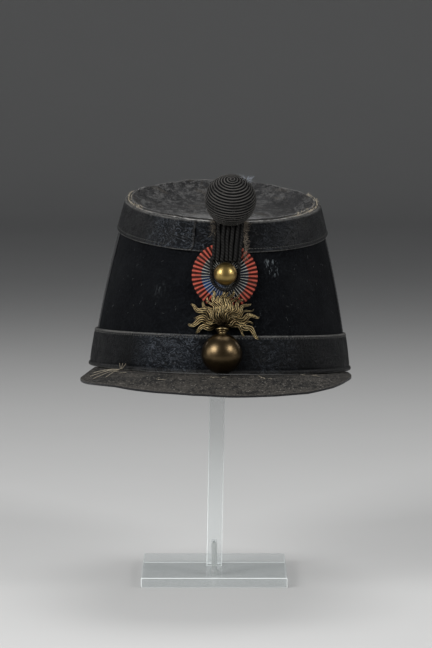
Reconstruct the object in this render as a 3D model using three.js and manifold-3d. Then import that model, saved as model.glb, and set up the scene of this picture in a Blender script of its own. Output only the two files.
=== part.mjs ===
// A shako hat on its clear display stand.
// Millimetres, +Z up, the front of the hat towards -Y, the origin in the middle of the base's underside.
import * as THREE from 'three';
import { mergeVertices } from 'three/addons/utils/BufferGeometryUtils.js';
import Module from 'manifold-3d';

const wasm = await Module();
wasm.setup();

const DEG = Math.PI / 180;

// Clearance between pieces that touch
const GAP = 0.3;

// Crown: two ovals, joined by a wall that swells a little and leans back at the front
const RIM_HALF_WIDTH = 86.5;
const RIM_HALF_LENGTH = 103.8;
const TOP_HALF_WIDTH = 64.3;
const TOP_HALF_LENGTH = 82;
const TOP_SETBACK = 2.4;
const CROWN_HEIGHT = 112.3;
const TOP_FALL = 9.65;
const CROWN_SWELL = 2.2;
const WALL = 2.6;
const CROWN_STEPS = 48;

// Leather top, sunk inside a raised rim
const TOP_THICK = 2;
const TOP_SINK = 6.5;
const TOP_BEAD = 1.6;

// Leather bands
const BAND_THICK = 1.6;
const BOTTOM_BAND_HEIGHT = 25;
const TOP_BAND_HEIGHT = 20;
const LAP_LENGTH = 12;
const LAP_CORNER = 4;
const TOP_LAP_AT = -19.5;

// Peak
const PEAK_THICK = 2.3;
const PEAK_REACH = 46;
const PEAK_SIDE = 2.9;
const PEAK_SHIFT = -4.6;
const PEAK_CORNERS = 50;
const PEAK_SQUARENESS = 2.6;
const PEAK_DROP = 10.2;
const PEAK_SPAN = 73;
const PEAK_CAMBER = 1.2;

// Piping in the two side seams
const PIPING_WIDTH = 1.6;
const PIPING_HEIGHT = 1;
const SEAM_LEFT = 9;
const SEAM_RIGHT = 13;

// Pleated cockade
const COCKADE_RADIUS = 21.4;
const COCKADE_AT = { x: -1.3, up: 63.4 };
const COCKADE_PLEATS = 44;
const COCKADE_THICK = 1.2;
const PLEAT_DEPTH = 1;

// Round button and the cord that loops it
const BUTTON_RADIUS = 7.5;
const BUTTON_DEPTH = 12;
const CORD_RADIUS = 1.15;

// Wound ball and its bundle of cords
const BALL_RADIUS = 16.8;
const BALL_AT = { x: 1.4, ahead: 10.2, up: 14.4 };
const BALL_TURNS = 27;
const BALL_LEAN = 36;
const CORD_GROOVE = 0.55;
const STEM_HALF_TOP = 11;
const STEM_HALF_LOW = 9.4;
const STEM_BACKING = 2;
const STEM_STRANDS = 7;

// Flaming grenade badge
const GRENADE_RADIUS = 13.2;
const GRENADE_DEPTH = 11.5;
const GRENADE_AT = { x: -2.7, up: 13.2 };
const NECK_RADIUS = 4.5;
const NECK_HEIGHT = 3.4;
const FLAME_REACH = 23.5;
const FLAME_HEIGHT = 23.4;
const FLAME_WIDTH = 7.6;
const FLAME_THICK = 2.2;

// Stand
const BASE_SIDE = 98;
const BASE_THICK = 6.5;
const POST_SIDE = 10.5;
const POST_LEAN = 1;
const REST_RADIUS = 30;
const REST_THICK = 4;
const SCREW_RADIUS = 1.75;
const SCREW_HEAD_RADIUS = 3;
const SCREW_HEAD_HEIGHT = 3.2;
const SCREW_REACH = 17.6;

// How the hat sits on the stand
const HAT_X = 3.6;
const RIM_ABOVE_FLOOR = 143.2;
const TILT_BACK = 3.7;
const TILT_RIGHT = 1.2;
const TURN = 2;

// Rows of a band's outer face: up is a share of its height, proud a share of its thickness.
const BOTTOM_BAND_ROWS = [
  { up: 0, proud: 0.9 },
  { up: 0.05, proud: 1.4 },
  { up: 0.1, proud: 1.25 },
  { up: 0.13, proud: 0.75 },
  { up: 0.17, proud: 1 },
  { up: 0.93, proud: 1 },
  { up: 1, proud: 0.7 },
];
const TOP_BAND_ROWS = [
  { up: 0, proud: 0.75 },
  { up: 0.07, proud: 1.1 },
  { up: 0.14, proud: 0.95 },
  { up: 0.94, proud: 1 },
  { up: 1, proud: 0.75 },
];

// How far the peak's edge hangs: across is a share of its half width, drop a share of PEAK_DROP.
const PEAK_EDGE = [
  { across: -1, drop: 0.6 },
  { across: -0.75, drop: 0.63 },
  { across: -0.45, drop: 0.87 },
  { across: -0.2, drop: 0.99 },
  { across: 0.05, drop: 1 },
  { across: 0.4, drop: 0.93 },
  { across: 0.63, drop: 0.76 },
  { across: 0.82, drop: 0.45 },
  { across: 0.93, drop: 0.14 },
  { across: 1, drop: 0.02 },
];

// Rings of the cockade: out is a share of its radius, pleat the share of the pleats' full depth.
const COCKADE_RINGS = [
  { out: 0.22, pleat: 0.2 },
  { out: 0.56, pleat: 0.75 },
  { out: 0.74, pleat: 1 },
  { out: 0.97, pleat: 1 },
  { out: 1, pleat: 0.35 },
];

// Tongues of flame: tips as shares of FLAME_REACH and FLAME_HEIGHT, with a sideways sway and a width.
const FLAMES = [
  { across: -0.91, up: 0.06, sway: -0.2, wide: 0.95 },
  { across: -0.83, up: 0.57, sway: 0.16, wide: 0.9 },
  { across: -0.49, up: 0.78, sway: -0.14, wide: 1 },
  { across: -0.27, up: 1, sway: 0.12, wide: 0.95 },
  { across: -0.04, up: 0.9, sway: -0.1, wide: 1 },
  { across: 0.14, up: 0.97, sway: 0.1, wide: 0.9 },
  { across: 0.32, up: 0.99, sway: -0.12, wide: 0.95 },
  { across: 0.47, up: 0.82, sway: 0.13, wide: 0.95 },
  { across: 0.77, up: 0.73, sway: -0.14, wide: 0.95 },
  { across: 1, up: 0.37, sway: -0.16, wide: 1 },
  { across: 0.94, up: 0.12, sway: 0.14, wide: 0.85 },
  { across: 0.97, up: -0.22, sway: 0.2, wide: 0.85 },
  { across: 0.5, up: -0.14, sway: 0.22, wide: 0.7 },
  { across: -0.62, up: -0.12, sway: -0.24, wide: 0.8 },
];

function mix(a, b, t) {
  return a + (b - a) * t;
}

// Value of a table's column at a place between its rows
function lookUp(table, key, column, at) {
  const last = table.length - 1;
  if (at <= table[0][key]) return table[0][column];
  for (let i = 0; i < last; i += 1) {
    if (at <= table[i + 1][key]) {
      const t = (at - table[i][key]) / (table[i + 1][key] - table[i][key]);
      return mix(table[i][column], table[i + 1][column], t);
    }
  }
  return table[last][column];
}

// Height of the top's plane above the rim, around the crown
const TOP_SLOPE = Math.tan(TOP_FALL * DEG);

function topHeight(around, out = 0) {
  return CROWN_HEIGHT - TOP_SLOPE * (TOP_HALF_LENGTH + out) * Math.cos(around);
}

function crownOval(share) {
  const swell = CROWN_SWELL * 4 * share * (1 - share);
  return {
    wide: mix(RIM_HALF_WIDTH, TOP_HALF_WIDTH, share) + swell,
    long: mix(RIM_HALF_LENGTH, TOP_HALF_LENGTH, share) + swell,
    back: TOP_SETBACK * share,
  };
}

// A point of the crown: the angle around from the front, the height above the rim and the distance
// outside the cloth
function crownPoint(around, up, out) {
  const oval = crownOval(up / topHeight(around));
  return new THREE.Vector3(
    (oval.wide + out) * Math.sin(around),
    oval.back - (oval.long + out) * Math.cos(around),
    up,
  );
}

// The same surface at the front, found by how far across a point is
const FACE_PASSES = 6;

function facePoint(x, up, out) {
  let around = 0;
  for (let i = 0; i < FACE_PASSES; i += 1) {
    const oval = crownOval(up / topHeight(around));
    around = Math.asin(THREE.MathUtils.clamp(x / (oval.wide + out), -1, 1));
  }
  return crownPoint(around, up, out);
}

// Closed geometry from points and triangles, turned so that its faces point out
function closedGeometry(points, triangles) {
  let volume = 0;
  for (const [a, b, c] of triangles) {
    volume += points[a].dot(new THREE.Vector3().crossVectors(points[b], points[c]));
  }
  const facing = volume < 0 ? triangles.map(([a, b, c]) => [a, c, b]) : triangles;
  const geometry = new THREE.BufferGeometry();
  geometry.setAttribute('position', new THREE.Float32BufferAttribute(points.flatMap((p) => p.toArray()), 3));
  geometry.setIndex(facing.flat());
  return geometry;
}

// Joins two closed rows of points, given by the numbers of their first points
function bridge(triangles, rowA, rowB, count) {
  for (let i = 0; i < count; i += 1) {
    const j = (i + 1) % count;
    triangles.push([rowA + i, rowA + j, rowB + j], [rowA + i, rowB + j, rowB + i]);
  }
}

// A wall that goes right round: rings of points, the last joined to the first
function ringSolid(rings) {
  const count = rings[0].length;
  const triangles = [];
  rings.forEach((ring, i) => {
    bridge(triangles, i * count, ((i + 1) % rings.length) * count, count);
  });
  return closedGeometry(rings.flat(), triangles);
}

// A plate: rings of points from the middle of one face, over the edge, to the middle of the other
function plateSolid(middle, rings, underMiddle) {
  const count = rings[0].length;
  const points = [...rings.flat(), middle, underMiddle];
  const triangles = [];
  for (let i = 0; i < rings.length - 1; i += 1) bridge(triangles, i * count, (i + 1) * count, count);
  const lastRow = (rings.length - 1) * count;
  for (let i = 0; i < count; i += 1) {
    const j = (i + 1) % count;
    triangles.push([rings.length * count, j, i]);
    triangles.push([rings.length * count + 1, lastRow + i, lastRow + j]);
  }
  return closedGeometry(points, triangles);
}

// A strip: like sections side by side, closed at both ends with the outline's own triangles
function stripSolid(sections, outline) {
  const count = outline.length;
  const lastRow = (sections.length - 1) * count;
  const triangles = [];
  for (let i = 0; i < sections.length - 1; i += 1) bridge(triangles, i * count, (i + 1) * count, count);
  const faces = THREE.ShapeUtils.triangulateShape(outline.map((p) => new THREE.Vector2(p.x, p.y)), []);
  const along = faces.some(([a, b, c]) => b - a === 1 || c - b === 1 || a - c === 1);
  for (const [a, b, c] of faces) {
    const face = along ? [a, c, b] : [a, b, c];
    triangles.push(face, [face[0], face[2], face[1]].map((i) => lastRow + i));
  }
  return closedGeometry(sections.flat(), triangles);
}

function bare(geometry) {
  const copy = geometry.clone();
  copy.deleteAttribute('normal');
  copy.deleteAttribute('uv');
  return mergeVertices(copy, 1e-4);
}

function toSolid(geometry) {
  const merged = bare(geometry);
  return new wasm.Manifold(new wasm.Mesh({
    numProp: 3,
    vertProperties: new Float32Array(merged.getAttribute('position').array),
    triVerts: new Uint32Array(merged.getIndex().array),
  }));
}

function toGeometry(solid) {
  const mesh = solid.getMesh();
  const geometry = new THREE.BufferGeometry();
  geometry.setAttribute('position', new THREE.BufferAttribute(new Float32Array(mesh.vertProperties), 3));
  geometry.setIndex(new THREE.BufferAttribute(new Uint32Array(mesh.triVerts), 1));
  return geometry;
}

function fuse(geometries) {
  return geometries.map(toSolid).reduce((sum, piece) => sum.add(piece));
}

function finish(color, roughness, metalness) {
  return new THREE.MeshStandardMaterial({ color, roughness, metalness });
}

function piece(name, geometry, material) {
  const mesh = new THREE.Mesh(geometry, material);
  mesh.name = name;
  return mesh;
}

function cord(points, radius, steps, sides) {
  const section = new THREE.Shape();
  for (let i = 0; i < sides; i += 1) {
    const turn = (i / sides) * 2 * Math.PI;
    const at = [radius * Math.cos(turn), radius * Math.sin(turn)];
    if (i === 0) section.moveTo(...at);
    else section.lineTo(...at);
  }
  const path = new THREE.CatmullRomCurve3(points);
  return new THREE.ExtrudeGeometry(section, { steps, bevelEnabled: false, extrudePath: path });
}

// Crown

function crownShell() {
  const seat = TOP_THICK + GAP;
  const rows = 4;
  const ring = (share, out) => Array.from({ length: CROWN_STEPS }, (_, i) => {
    const around = (i / CROWN_STEPS) * 2 * Math.PI;
    return crownPoint(around, share * (topHeight(around, out) - seat), out);
  });
  const outer = Array.from({ length: rows + 1 }, (_, i) => ring(i / rows, 0));
  const inner = Array.from({ length: rows + 1 }, (_, i) => ring(1 - i / rows, -WALL));
  return ringSolid([...outer, ...inner]);
}

// A ring on the top's plane, inset from the cloth and raised above the plane
function topRing(inset, rise) {
  return Array.from({ length: CROWN_STEPS }, (_, i) => {
    const around = (i / CROWN_STEPS) * 2 * Math.PI;
    const x = (TOP_HALF_WIDTH - inset) * Math.sin(around);
    const y = -(TOP_HALF_LENGTH - inset) * Math.cos(around);
    return new THREE.Vector3(x, TOP_SETBACK + y, CROWN_HEIGHT + TOP_SLOPE * y + rise);
  });
}

function topMiddle(rise) {
  return new THREE.Vector3(0, TOP_SETBACK, CROWN_HEIGHT + rise);
}

const SEAT_INSET = WALL + GAP;
const FLOOR_INSET = TOP_HALF_WIDTH * 0.38;

function crownTop() {
  const rings = [
    topRing(FLOOR_INSET, -TOP_SINK),
    topRing(SEAT_INSET + 3 * TOP_THICK, -0.5 * TOP_SINK),
    topRing(SEAT_INSET + TOP_THICK, -0.12 * TOP_SINK),
    topRing(SEAT_INSET + 0.4 * TOP_THICK, TOP_BEAD * 0.7),
    topRing(0.7 * WALL, TOP_BEAD),
    topRing(0, 0.1 * TOP_BEAD),
    topRing(0, -TOP_THICK),
    topRing(SEAT_INSET, -TOP_THICK),
    topRing(SEAT_INSET + 3.2 * TOP_THICK, -0.5 * TOP_SINK - TOP_THICK),
    topRing(FLOOR_INSET, -TOP_SINK - TOP_THICK),
  ];
  return plateSolid(topMiddle(-TOP_SINK), rings, topMiddle(-TOP_SINK - TOP_THICK));
}

// A leather strip round the crown. Its far end laps over its near end.
function lappedBand(rows, height, edge, lapAt, corner) {
  const outline = [
    ...rows.map((row) => ({ x: row.up, y: row.proud })),
    { x: 1, y: 0 },
    { x: 0, y: 0 },
  ];
  const girth = RIM_HALF_WIDTH;
  const lap = LAP_LENGTH / girth;
  const climb = 1.2 * lap;
  const start = lapAt - lap;
  const end = lapAt + 2 * Math.PI;
  const overlapFrom = start + 2 * Math.PI;
  const angles = Array.from({ length: CROWN_STEPS }, (_, i) => mix(start, overlapFrom - climb, i / (CROWN_STEPS - 1)));
  angles.push(overlapFrom - 0.15 * lap);
  const cornerShares = [1, 0.6, 0.25, 0];
  for (const share of cornerShares) angles.push(end - (share * corner) / girth);
  const sections = angles.map((around) => {
    const climbed = THREE.MathUtils.clamp((around - overlapFrom + climb) / (0.85 * climb), 0, 1);
    const out = GAP + climbed * (BAND_THICK + GAP);
    const fromEnd = Math.min((end - around) * girth, corner);
    const raise = corner - Math.sqrt(corner * corner - (corner - fromEnd) ** 2);
    const low = edge(around) + raise;
    const tall = height - raise;
    return outline.map((p) => crownPoint(around, low + p.x * tall, out + p.y * BAND_THICK));
  });
  return stripSolid(sections, outline);
}

function bottomBand() {
  return lappedBand(BOTTOM_BAND_ROWS, BOTTOM_BAND_HEIGHT, () => 0, Math.PI, 0.2 * LAP_CORNER);
}

function topBand() {
  const edge = (around) => topHeight(around) - TOP_BAND_HEIGHT;
  const lapAt = Math.asin(TOP_LAP_AT / TOP_HALF_WIDTH);
  return lappedBand(TOP_BAND_ROWS, TOP_BAND_HEIGHT, edge, lapAt, LAP_CORNER);
}

function sidePiping(around) {
  const outline = [
    { x: -0.5, y: 0 },
    { x: -0.35, y: 0.8 },
    { x: 0, y: 1 },
    { x: 0.35, y: 0.8 },
    { x: 0.5, y: 0 },
  ];
  const low = BOTTOM_BAND_HEIGHT + GAP;
  const high = topHeight(around) - TOP_BAND_HEIGHT - GAP;
  const steps = 8;
  const sections = Array.from({ length: steps + 1 }, (_, i) => {
    const up = mix(low, high, i / steps);
    const radius = crownOval(up / topHeight(around)).long;
    return outline.map((p) => crownPoint(around + (p.x * PIPING_WIDTH) / radius, up, GAP + p.y * PIPING_HEIGHT));
  });
  return stripSolid(sections, outline);
}

// The peak's outline: broad, with rounded corners. Turn goes from one corner to the other.
function peakEdge(turn) {
  const power = 2 / PEAK_SQUARENESS;
  const across = Math.sign(turn) * Math.abs(Math.sin(turn)) ** power;
  const ahead = Math.max(Math.cos(turn), 0) ** power;
  const front = RIM_HALF_LENGTH + BAND_THICK + GAP + PEAK_REACH;
  const x = PEAK_SHIFT + across * (RIM_HALF_WIDTH + PEAK_SIDE);
  const drop = PEAK_DROP * lookUp(PEAK_EDGE, 'across', 'drop', across);
  return new THREE.Vector3(x, -mix(PEAK_CORNERS, front, ahead), -GAP - drop);
}

function peak() {
  const steps = 30;
  const shares = [0, 0.3, 0.65, 1];
  const outline = [
    { x: 0, y: 0 },
    ...shares.map((share) => ({ x: 1 + share, y: 0 })),
    ...[...shares].reverse().map((share) => ({ x: 1 + share, y: -1 })),
    { x: 0, y: -1 },
  ];
  const sections = Array.from({ length: steps + 1 }, (_, i) => {
    const share = mix(-1, 1, i / steps);
    const around = share * PEAK_SPAN * DEG;
    const root = crownPoint(around, 0, -WALL).setZ(-GAP);
    const fold = crownPoint(around, 0, GAP + BAND_THICK).setZ(-GAP);
    const edge = peakEdge((share * Math.PI) / 2);
    return outline.map((p) => {
      const at = p.x < 1 ? root.clone() : fold.clone().lerp(edge, p.x - 1);
      const arch = p.x < 1 ? 0 : PEAK_CAMBER * 4 * (p.x - 1) * (2 - p.x);
      at.z += arch * Math.min(1, 2 * (1 - Math.abs(share))) + p.y * PEAK_THICK;
      return at;
    });
  });
  return stripSolid(sections, outline);
}

// Trimmings at the front, laid over each other: each starts this far outside the cloth
const COCKADE_BACK = GAP + BAND_THICK + 2 * GAP;
const BUTTON_BACK = COCKADE_BACK + COCKADE_THICK + COCKADE_RINGS[0].pleat * PLEAT_DEPTH + GAP;
const TRIM_BACK = COCKADE_BACK + COCKADE_THICK + PLEAT_DEPTH + GAP;

function cockade() {
  const around = COCKADE_PLEATS * 2;
  const ring = (out, outward) => Array.from({ length: around }, (_, i) => {
    const turn = (i / around) * 2 * Math.PI;
    const radius = out * COCKADE_RADIUS;
    const ridge = i % 2 === 0 ? 1 : 0;
    return facePoint(
      COCKADE_AT.x + radius * Math.sin(turn),
      COCKADE_AT.up + radius * Math.cos(turn),
      outward(ridge),
    );
  });
  const front = COCKADE_RINGS.map((row) => ring(
    row.out,
    (ridge) => COCKADE_BACK + COCKADE_THICK + PLEAT_DEPTH * row.pleat * (ridge - (1 - ridge) * 0.4),
  ));
  const back = [1, 0.5].map((out) => ring(out, () => COCKADE_BACK));
  const middle = facePoint(COCKADE_AT.x, COCKADE_AT.up, COCKADE_BACK + COCKADE_THICK);
  const underMiddle = facePoint(COCKADE_AT.x, COCKADE_AT.up, COCKADE_BACK);
  return plateSolid(middle, [...front, ...back], underMiddle);
}

// How the front of the crown leans at a height, as a turn about X
function faceLean(up) {
  const low = facePoint(0, up - 1, 0);
  const high = facePoint(0, up + 1, 0);
  return Math.atan2(high.y - low.y, high.z - low.z);
}

// Stands a turned shape on the front, its axis pointing out of the cloth
function onFace(geometry, x, up, out) {
  const at = facePoint(x, up, out);
  return geometry.rotateX(Math.PI - faceLean(up)).translate(at.x, at.y, at.z);
}

function button() {
  const profile = [
    { out: 0, up: 0 },
    { out: 0.58, up: 0 },
    { out: 0.93, up: 0.2 },
    { out: 1, up: 0.42 },
    { out: 0.9, up: 0.68 },
    { out: 0.62, up: 0.89 },
    { out: 0.3, up: 0.98 },
    { out: 0, up: 1 },
  ].map((row) => new THREE.Vector2(row.out * BUTTON_RADIUS, row.up * BUTTON_DEPTH));
  const ball = new THREE.LatheGeometry(profile, 20);
  return bare(onFace(ball, COCKADE_AT.x, COCKADE_AT.up, BUTTON_BACK));
}

// Middle of the wound ball
const FRONT_EDGE = crownPoint(0, topHeight(0), 0);
const BALL_MIDDLE = new THREE.Vector3(
  BALL_AT.x,
  FRONT_EDGE.y - BAND_THICK - BALL_AT.ahead,
  FRONT_EDGE.z + BALL_AT.up,
);

// The ball is one cord wound round from pole to pole, so its profile is a row of small ridges.
function woundBall() {
  const profile = [];
  const count = BALL_TURNS * 2;
  for (let i = 0; i <= count; i += 1) {
    const polar = (i / count) * Math.PI;
    const radius = BALL_RADIUS - (i % 2 === 0 ? CORD_GROOVE : 0);
    const axial = i === 0 || i === count;
    profile.push(new THREE.Vector2(axial ? 0 : radius * Math.sin(polar), -radius * Math.cos(polar)));
  }
  const ball = new THREE.LatheGeometry(profile, 16);
  ball.rotateX(Math.PI / 2 + BALL_LEAN * DEG);
  ball.translate(BALL_MIDDLE.x, BALL_MIDDLE.y, BALL_MIDDLE.z);
  return bare(ball);
}

// Bundle of cords from the ball to the button, on a flat backing, with a loop round the button
function cordBundle() {
  const loopRadius = BUTTON_RADIUS + GAP + CORD_RADIUS;
  const out = TRIM_BACK + CORD_RADIUS;
  const low = COCKADE_AT.up + loopRadius + CORD_RADIUS;
  const high = BALL_MIDDLE.z;
  const middleAt = (up) => mix(COCKADE_AT.x, BALL_AT.x, (up - COCKADE_AT.up) / (high - COCKADE_AT.up));
  const halfAt = (up) => mix(STEM_HALF_LOW, STEM_HALF_TOP, (up - low) / (high - low));
  const topOut = (up) => out + Math.max(0, up - topHeight(0)) * 0.25;
  const outline = [
    { x: -1, y: 0 },
    { x: 0, y: 0 },
    { x: 1, y: 0 },
    { x: 1, y: 1 },
    { x: 0, y: 1 },
    { x: -1, y: 1 },
  ];
  const backingRows = [0, 0.25, 0.5, 0.75, 1].map((share) => {
    const up = mix(low, high, share);
    const half = halfAt(up) - CORD_RADIUS;
    const back = topOut(up) - CORD_RADIUS;
    return outline.map((p) => facePoint(middleAt(up) + p.x * half, up, back + p.y * STEM_BACKING));
  });
  const backing = stripSolid(backingRows, outline);
  const strands = Array.from({ length: STEM_STRANDS }, (_, i) => {
    const side = mix(-1, 1, i / (STEM_STRANDS - 1));
    const edge = i === 0 || i === STEM_STRANDS - 1;
    const raised = edge ? 0 : STEM_BACKING * (i % 2 === 0 ? 1 : 0.7);
    const points = [0, 0.2, 0.4, 0.6, 0.8, 1].map((share, k) => {
      const up = mix(low, high, share);
      const sway = 0.25 * CORD_RADIUS * (k % 2 === 0 ? 1 : -1) * (i % 2 === 0 ? 1 : -1);
      const half = halfAt(up) - CORD_RADIUS;
      return facePoint(middleAt(up) + side * half + sway, up, topOut(up) + raised);
    });
    return cord(points, CORD_RADIUS, 6, 5);
  });
  const legTop = low + CORD_RADIUS;
  const legMiddle = mix(low, COCKADE_AT.up, 0.4);
  const bendSteps = 8;
  const bend = Array.from({ length: bendSteps + 1 }, (_, i) => {
    const turn = mix(-Math.PI / 2, Math.PI / 2, i / bendSteps);
    return [loopRadius * Math.sin(turn), COCKADE_AT.up - loopRadius * Math.cos(turn)];
  });
  const loopPoints = [
    [-loopRadius, legTop],
    [-loopRadius, legMiddle],
    ...bend,
    [loopRadius, legMiddle],
    [loopRadius, legTop],
  ];
  const loop = cord(loopPoints.map(([x, up]) => facePoint(COCKADE_AT.x + x, up, out)), CORD_RADIUS, 20, 5);
  const seat = new THREE.SphereGeometry(BALL_RADIUS + GAP, 36, 24);
  seat.translate(BALL_MIDDLE.x, BALL_MIDDLE.y, BALL_MIDDLE.z);
  return toGeometry(fuse([backing, ...strands, loop]).subtract(toSolid(seat)));
}

// The badge lies on the bottom band and passes in front of the cockade
const FLAME_ROOT_UP = GRENADE_AT.up + GRENADE_RADIUS + NECK_HEIGHT;
const BADGE_BACK = GAP + 1.4 * BAND_THICK + GAP;

function badgeBack(up) {
  const cockadeFoot = COCKADE_AT.up - COCKADE_RADIUS;
  const from = mix(FLAME_ROOT_UP, cockadeFoot, 0.3) - 2 * GAP;
  const to = cockadeFoot - 3 * GAP;
  const raised = THREE.MathUtils.clamp((up - from) / (to - from), 0, 1);
  return mix(BADGE_BACK, TRIM_BACK, raised);
}

function flame(row) {
  const tip = { x: row.across * FLAME_REACH, up: row.up * FLAME_HEIGHT };
  const long = Math.hypot(tip.x, tip.up);
  const sideways = { x: -tip.up / long, up: tip.x / long };
  const outline = [
    { x: -1, y: 0 },
    { x: -0.9, y: 0.55 },
    { x: 0, y: 1 },
    { x: 0.9, y: 0.55 },
    { x: 1, y: 0 },
  ];
  const steps = 6;
  const sections = Array.from({ length: steps + 1 }, (_, i) => {
    const share = i / steps;
    const sway = row.sway * long * Math.sin(share * 2 * Math.PI) * 0.62;
    const turn = Math.atan(row.sway * 2 * Math.PI * Math.cos(share * 2 * Math.PI) * 0.62);
    const half = 0.5 * FLAME_WIDTH * row.wide * (0.42 + 0.58 * Math.sin(Math.PI * Math.min(1, share + 0.22)) ** 2)
      * Math.sqrt(1 - 0.94 * share);
    const across = {
      x: sideways.x * Math.cos(turn) - (tip.x / long) * Math.sin(turn),
      up: sideways.up * Math.cos(turn) - (tip.up / long) * Math.sin(turn),
    };
    return outline.map((p) => {
      const x = tip.x * share + sideways.x * sway + across.x * half * p.x;
      const up = FLAME_ROOT_UP + tip.up * share + sideways.up * sway + across.up * half * p.x;
      return facePoint(GRENADE_AT.x + x, up, badgeBack(up) + p.y * FLAME_THICK * (1 - 0.35 * share));
    });
  });
  return stripSolid(sections, outline);
}

function badge() {
  const domeRows = 6;
  const profile = [new THREE.Vector2(0, 0)];
  for (let i = 0; i <= domeRows; i += 1) {
    const turn = (i / domeRows) * (Math.PI / 2);
    profile.push(new THREE.Vector2(GRENADE_RADIUS * Math.cos(turn), GRENADE_DEPTH * Math.sin(turn)));
  }
  profile[domeRows + 1].x = 0;
  const ball = onFace(new THREE.LatheGeometry(profile, 22), GRENADE_AT.x, GRENADE_AT.up, BADGE_BACK);
  const neckRows = [
    { out: 0, up: -0.6 },
    { out: 0.75, up: -0.6 },
    { out: 0.6, up: 0.1 },
    { out: 0.82, up: 0.3 },
    { out: 0.62, up: 0.45 },
    { out: 1, up: 0.7 },
    { out: 0.85, up: 0.95 },
    { out: 0.55, up: 1.1 },
    { out: 0, up: 1.3 },
  ];
  const neck = new THREE.LatheGeometry(
    neckRows.map((row) => new THREE.Vector2(row.out * NECK_RADIUS, row.up * NECK_HEIGHT)),
    12,
  );
  const neckAt = facePoint(GRENADE_AT.x, FLAME_ROOT_UP - NECK_HEIGHT, BADGE_BACK + 0.8 * FLAME_THICK);
  const lean = -faceLean(FLAME_ROOT_UP);
  neck.rotateX(Math.PI / 2 + lean);
  neck.translate(neckAt.x, neckAt.y, neckAt.z);
  const cutDepth = 4 * NECK_RADIUS;
  const behind = new THREE.BoxGeometry(4 * NECK_RADIUS, cutDepth, 6 * NECK_HEIGHT);
  behind.translate(0, cutDepth / 2, 0);
  behind.rotateX(lean);
  const behindAt = facePoint(GRENADE_AT.x, FLAME_ROOT_UP - NECK_HEIGHT, BADGE_BACK);
  behind.translate(behindAt.x, behindAt.y, behindAt.z);
  const halfNeck = toSolid(neck).subtract(toSolid(behind));
  return toGeometry(fuse([ball, ...FLAMES.map(flame)]).add(halfNeck));
}

// Stand

const hat = new THREE.Group();
hat.rotation.order = 'YXZ';
hat.rotation.set(-TILT_BACK * DEG, TILT_RIGHT * DEG, TURN * DEG);
hat.position.set(HAT_X, 0, RIM_ABOVE_FLOOR);
hat.updateMatrix();

function standBase() {
  const plate = new THREE.BoxGeometry(BASE_SIDE, BASE_SIDE, BASE_THICK);
  plate.translate(0, 0, BASE_THICK / 2);
  const headHole = uprightCylinder(SCREW_HEAD_RADIUS + GAP, -GAP, SCREW_HEAD_HEIGHT + GAP);
  const shankHole = uprightCylinder(SCREW_RADIUS + GAP, -GAP, BASE_THICK + GAP);
  return toGeometry(toSolid(plate).subtract(toSolid(headHole)).subtract(toSolid(shankHole)));
}

function uprightCylinder(radius, from, to) {
  const body = new THREE.CylinderGeometry(radius, radius, to - from, 20);
  body.rotateX(Math.PI / 2);
  return body.translate(0, 0, (from + to) / 2);
}

// One piece: a square post and the round rest under the crown's top
function standPost() {
  const foot = new THREE.Vector3(0, 0, BASE_THICK + GAP);
  const along = new THREE.Vector3(Math.sin(POST_LEAN * DEG), 0, Math.cos(POST_LEAN * DEG));
  const toHat = hat.matrix.clone().invert();
  const localFoot = foot.clone().applyMatrix4(toHat);
  const localAlong = along.clone().transformDirection(toHat);
  const restRise = -TOP_SINK - TOP_THICK - GAP - REST_THICK / 2;
  const slope = new THREE.Vector3(0, -TOP_SLOPE, 1);
  const onRest = topMiddle(restRise);
  const length = onRest.clone().sub(localFoot).dot(slope) / localAlong.dot(slope);
  const restAt = localFoot.clone().addScaledVector(localAlong, length);
  const rest = new THREE.CylinderGeometry(REST_RADIUS, REST_RADIUS, REST_THICK, 40);
  rest.rotateX(Math.PI / 2);
  rest.rotateX(TOP_FALL * DEG);
  rest.translate(restAt.x, restAt.y, restAt.z);
  rest.applyMatrix4(hat.matrix);
  const post = new THREE.BoxGeometry(POST_SIDE, POST_SIDE, length);
  post.translate(0, 0, length / 2);
  post.rotateY(POST_LEAN * DEG);
  post.translate(foot.x, foot.y, foot.z + (POST_SIDE / 2) * Math.sin(POST_LEAN * DEG));
  const hole = uprightCylinder(SCREW_RADIUS + GAP, 0, BASE_THICK + SCREW_REACH + GAP);
  return toGeometry(toSolid(post).add(toSolid(rest)).subtract(toSolid(hole)));
}

function standScrew() {
  const profile = [
    new THREE.Vector2(0, 0),
    new THREE.Vector2(SCREW_HEAD_RADIUS, 0),
    new THREE.Vector2(SCREW_HEAD_RADIUS, SCREW_HEAD_HEIGHT),
    new THREE.Vector2(SCREW_RADIUS, SCREW_HEAD_HEIGHT),
    new THREE.Vector2(SCREW_RADIUS, BASE_THICK + SCREW_REACH - SCREW_RADIUS),
    new THREE.Vector2(0, BASE_THICK + SCREW_REACH),
  ];
  const screw = new THREE.LatheGeometry(profile, 20);
  screw.rotateX(Math.PI / 2);
  return bare(screw);
}

// Assembly

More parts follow.
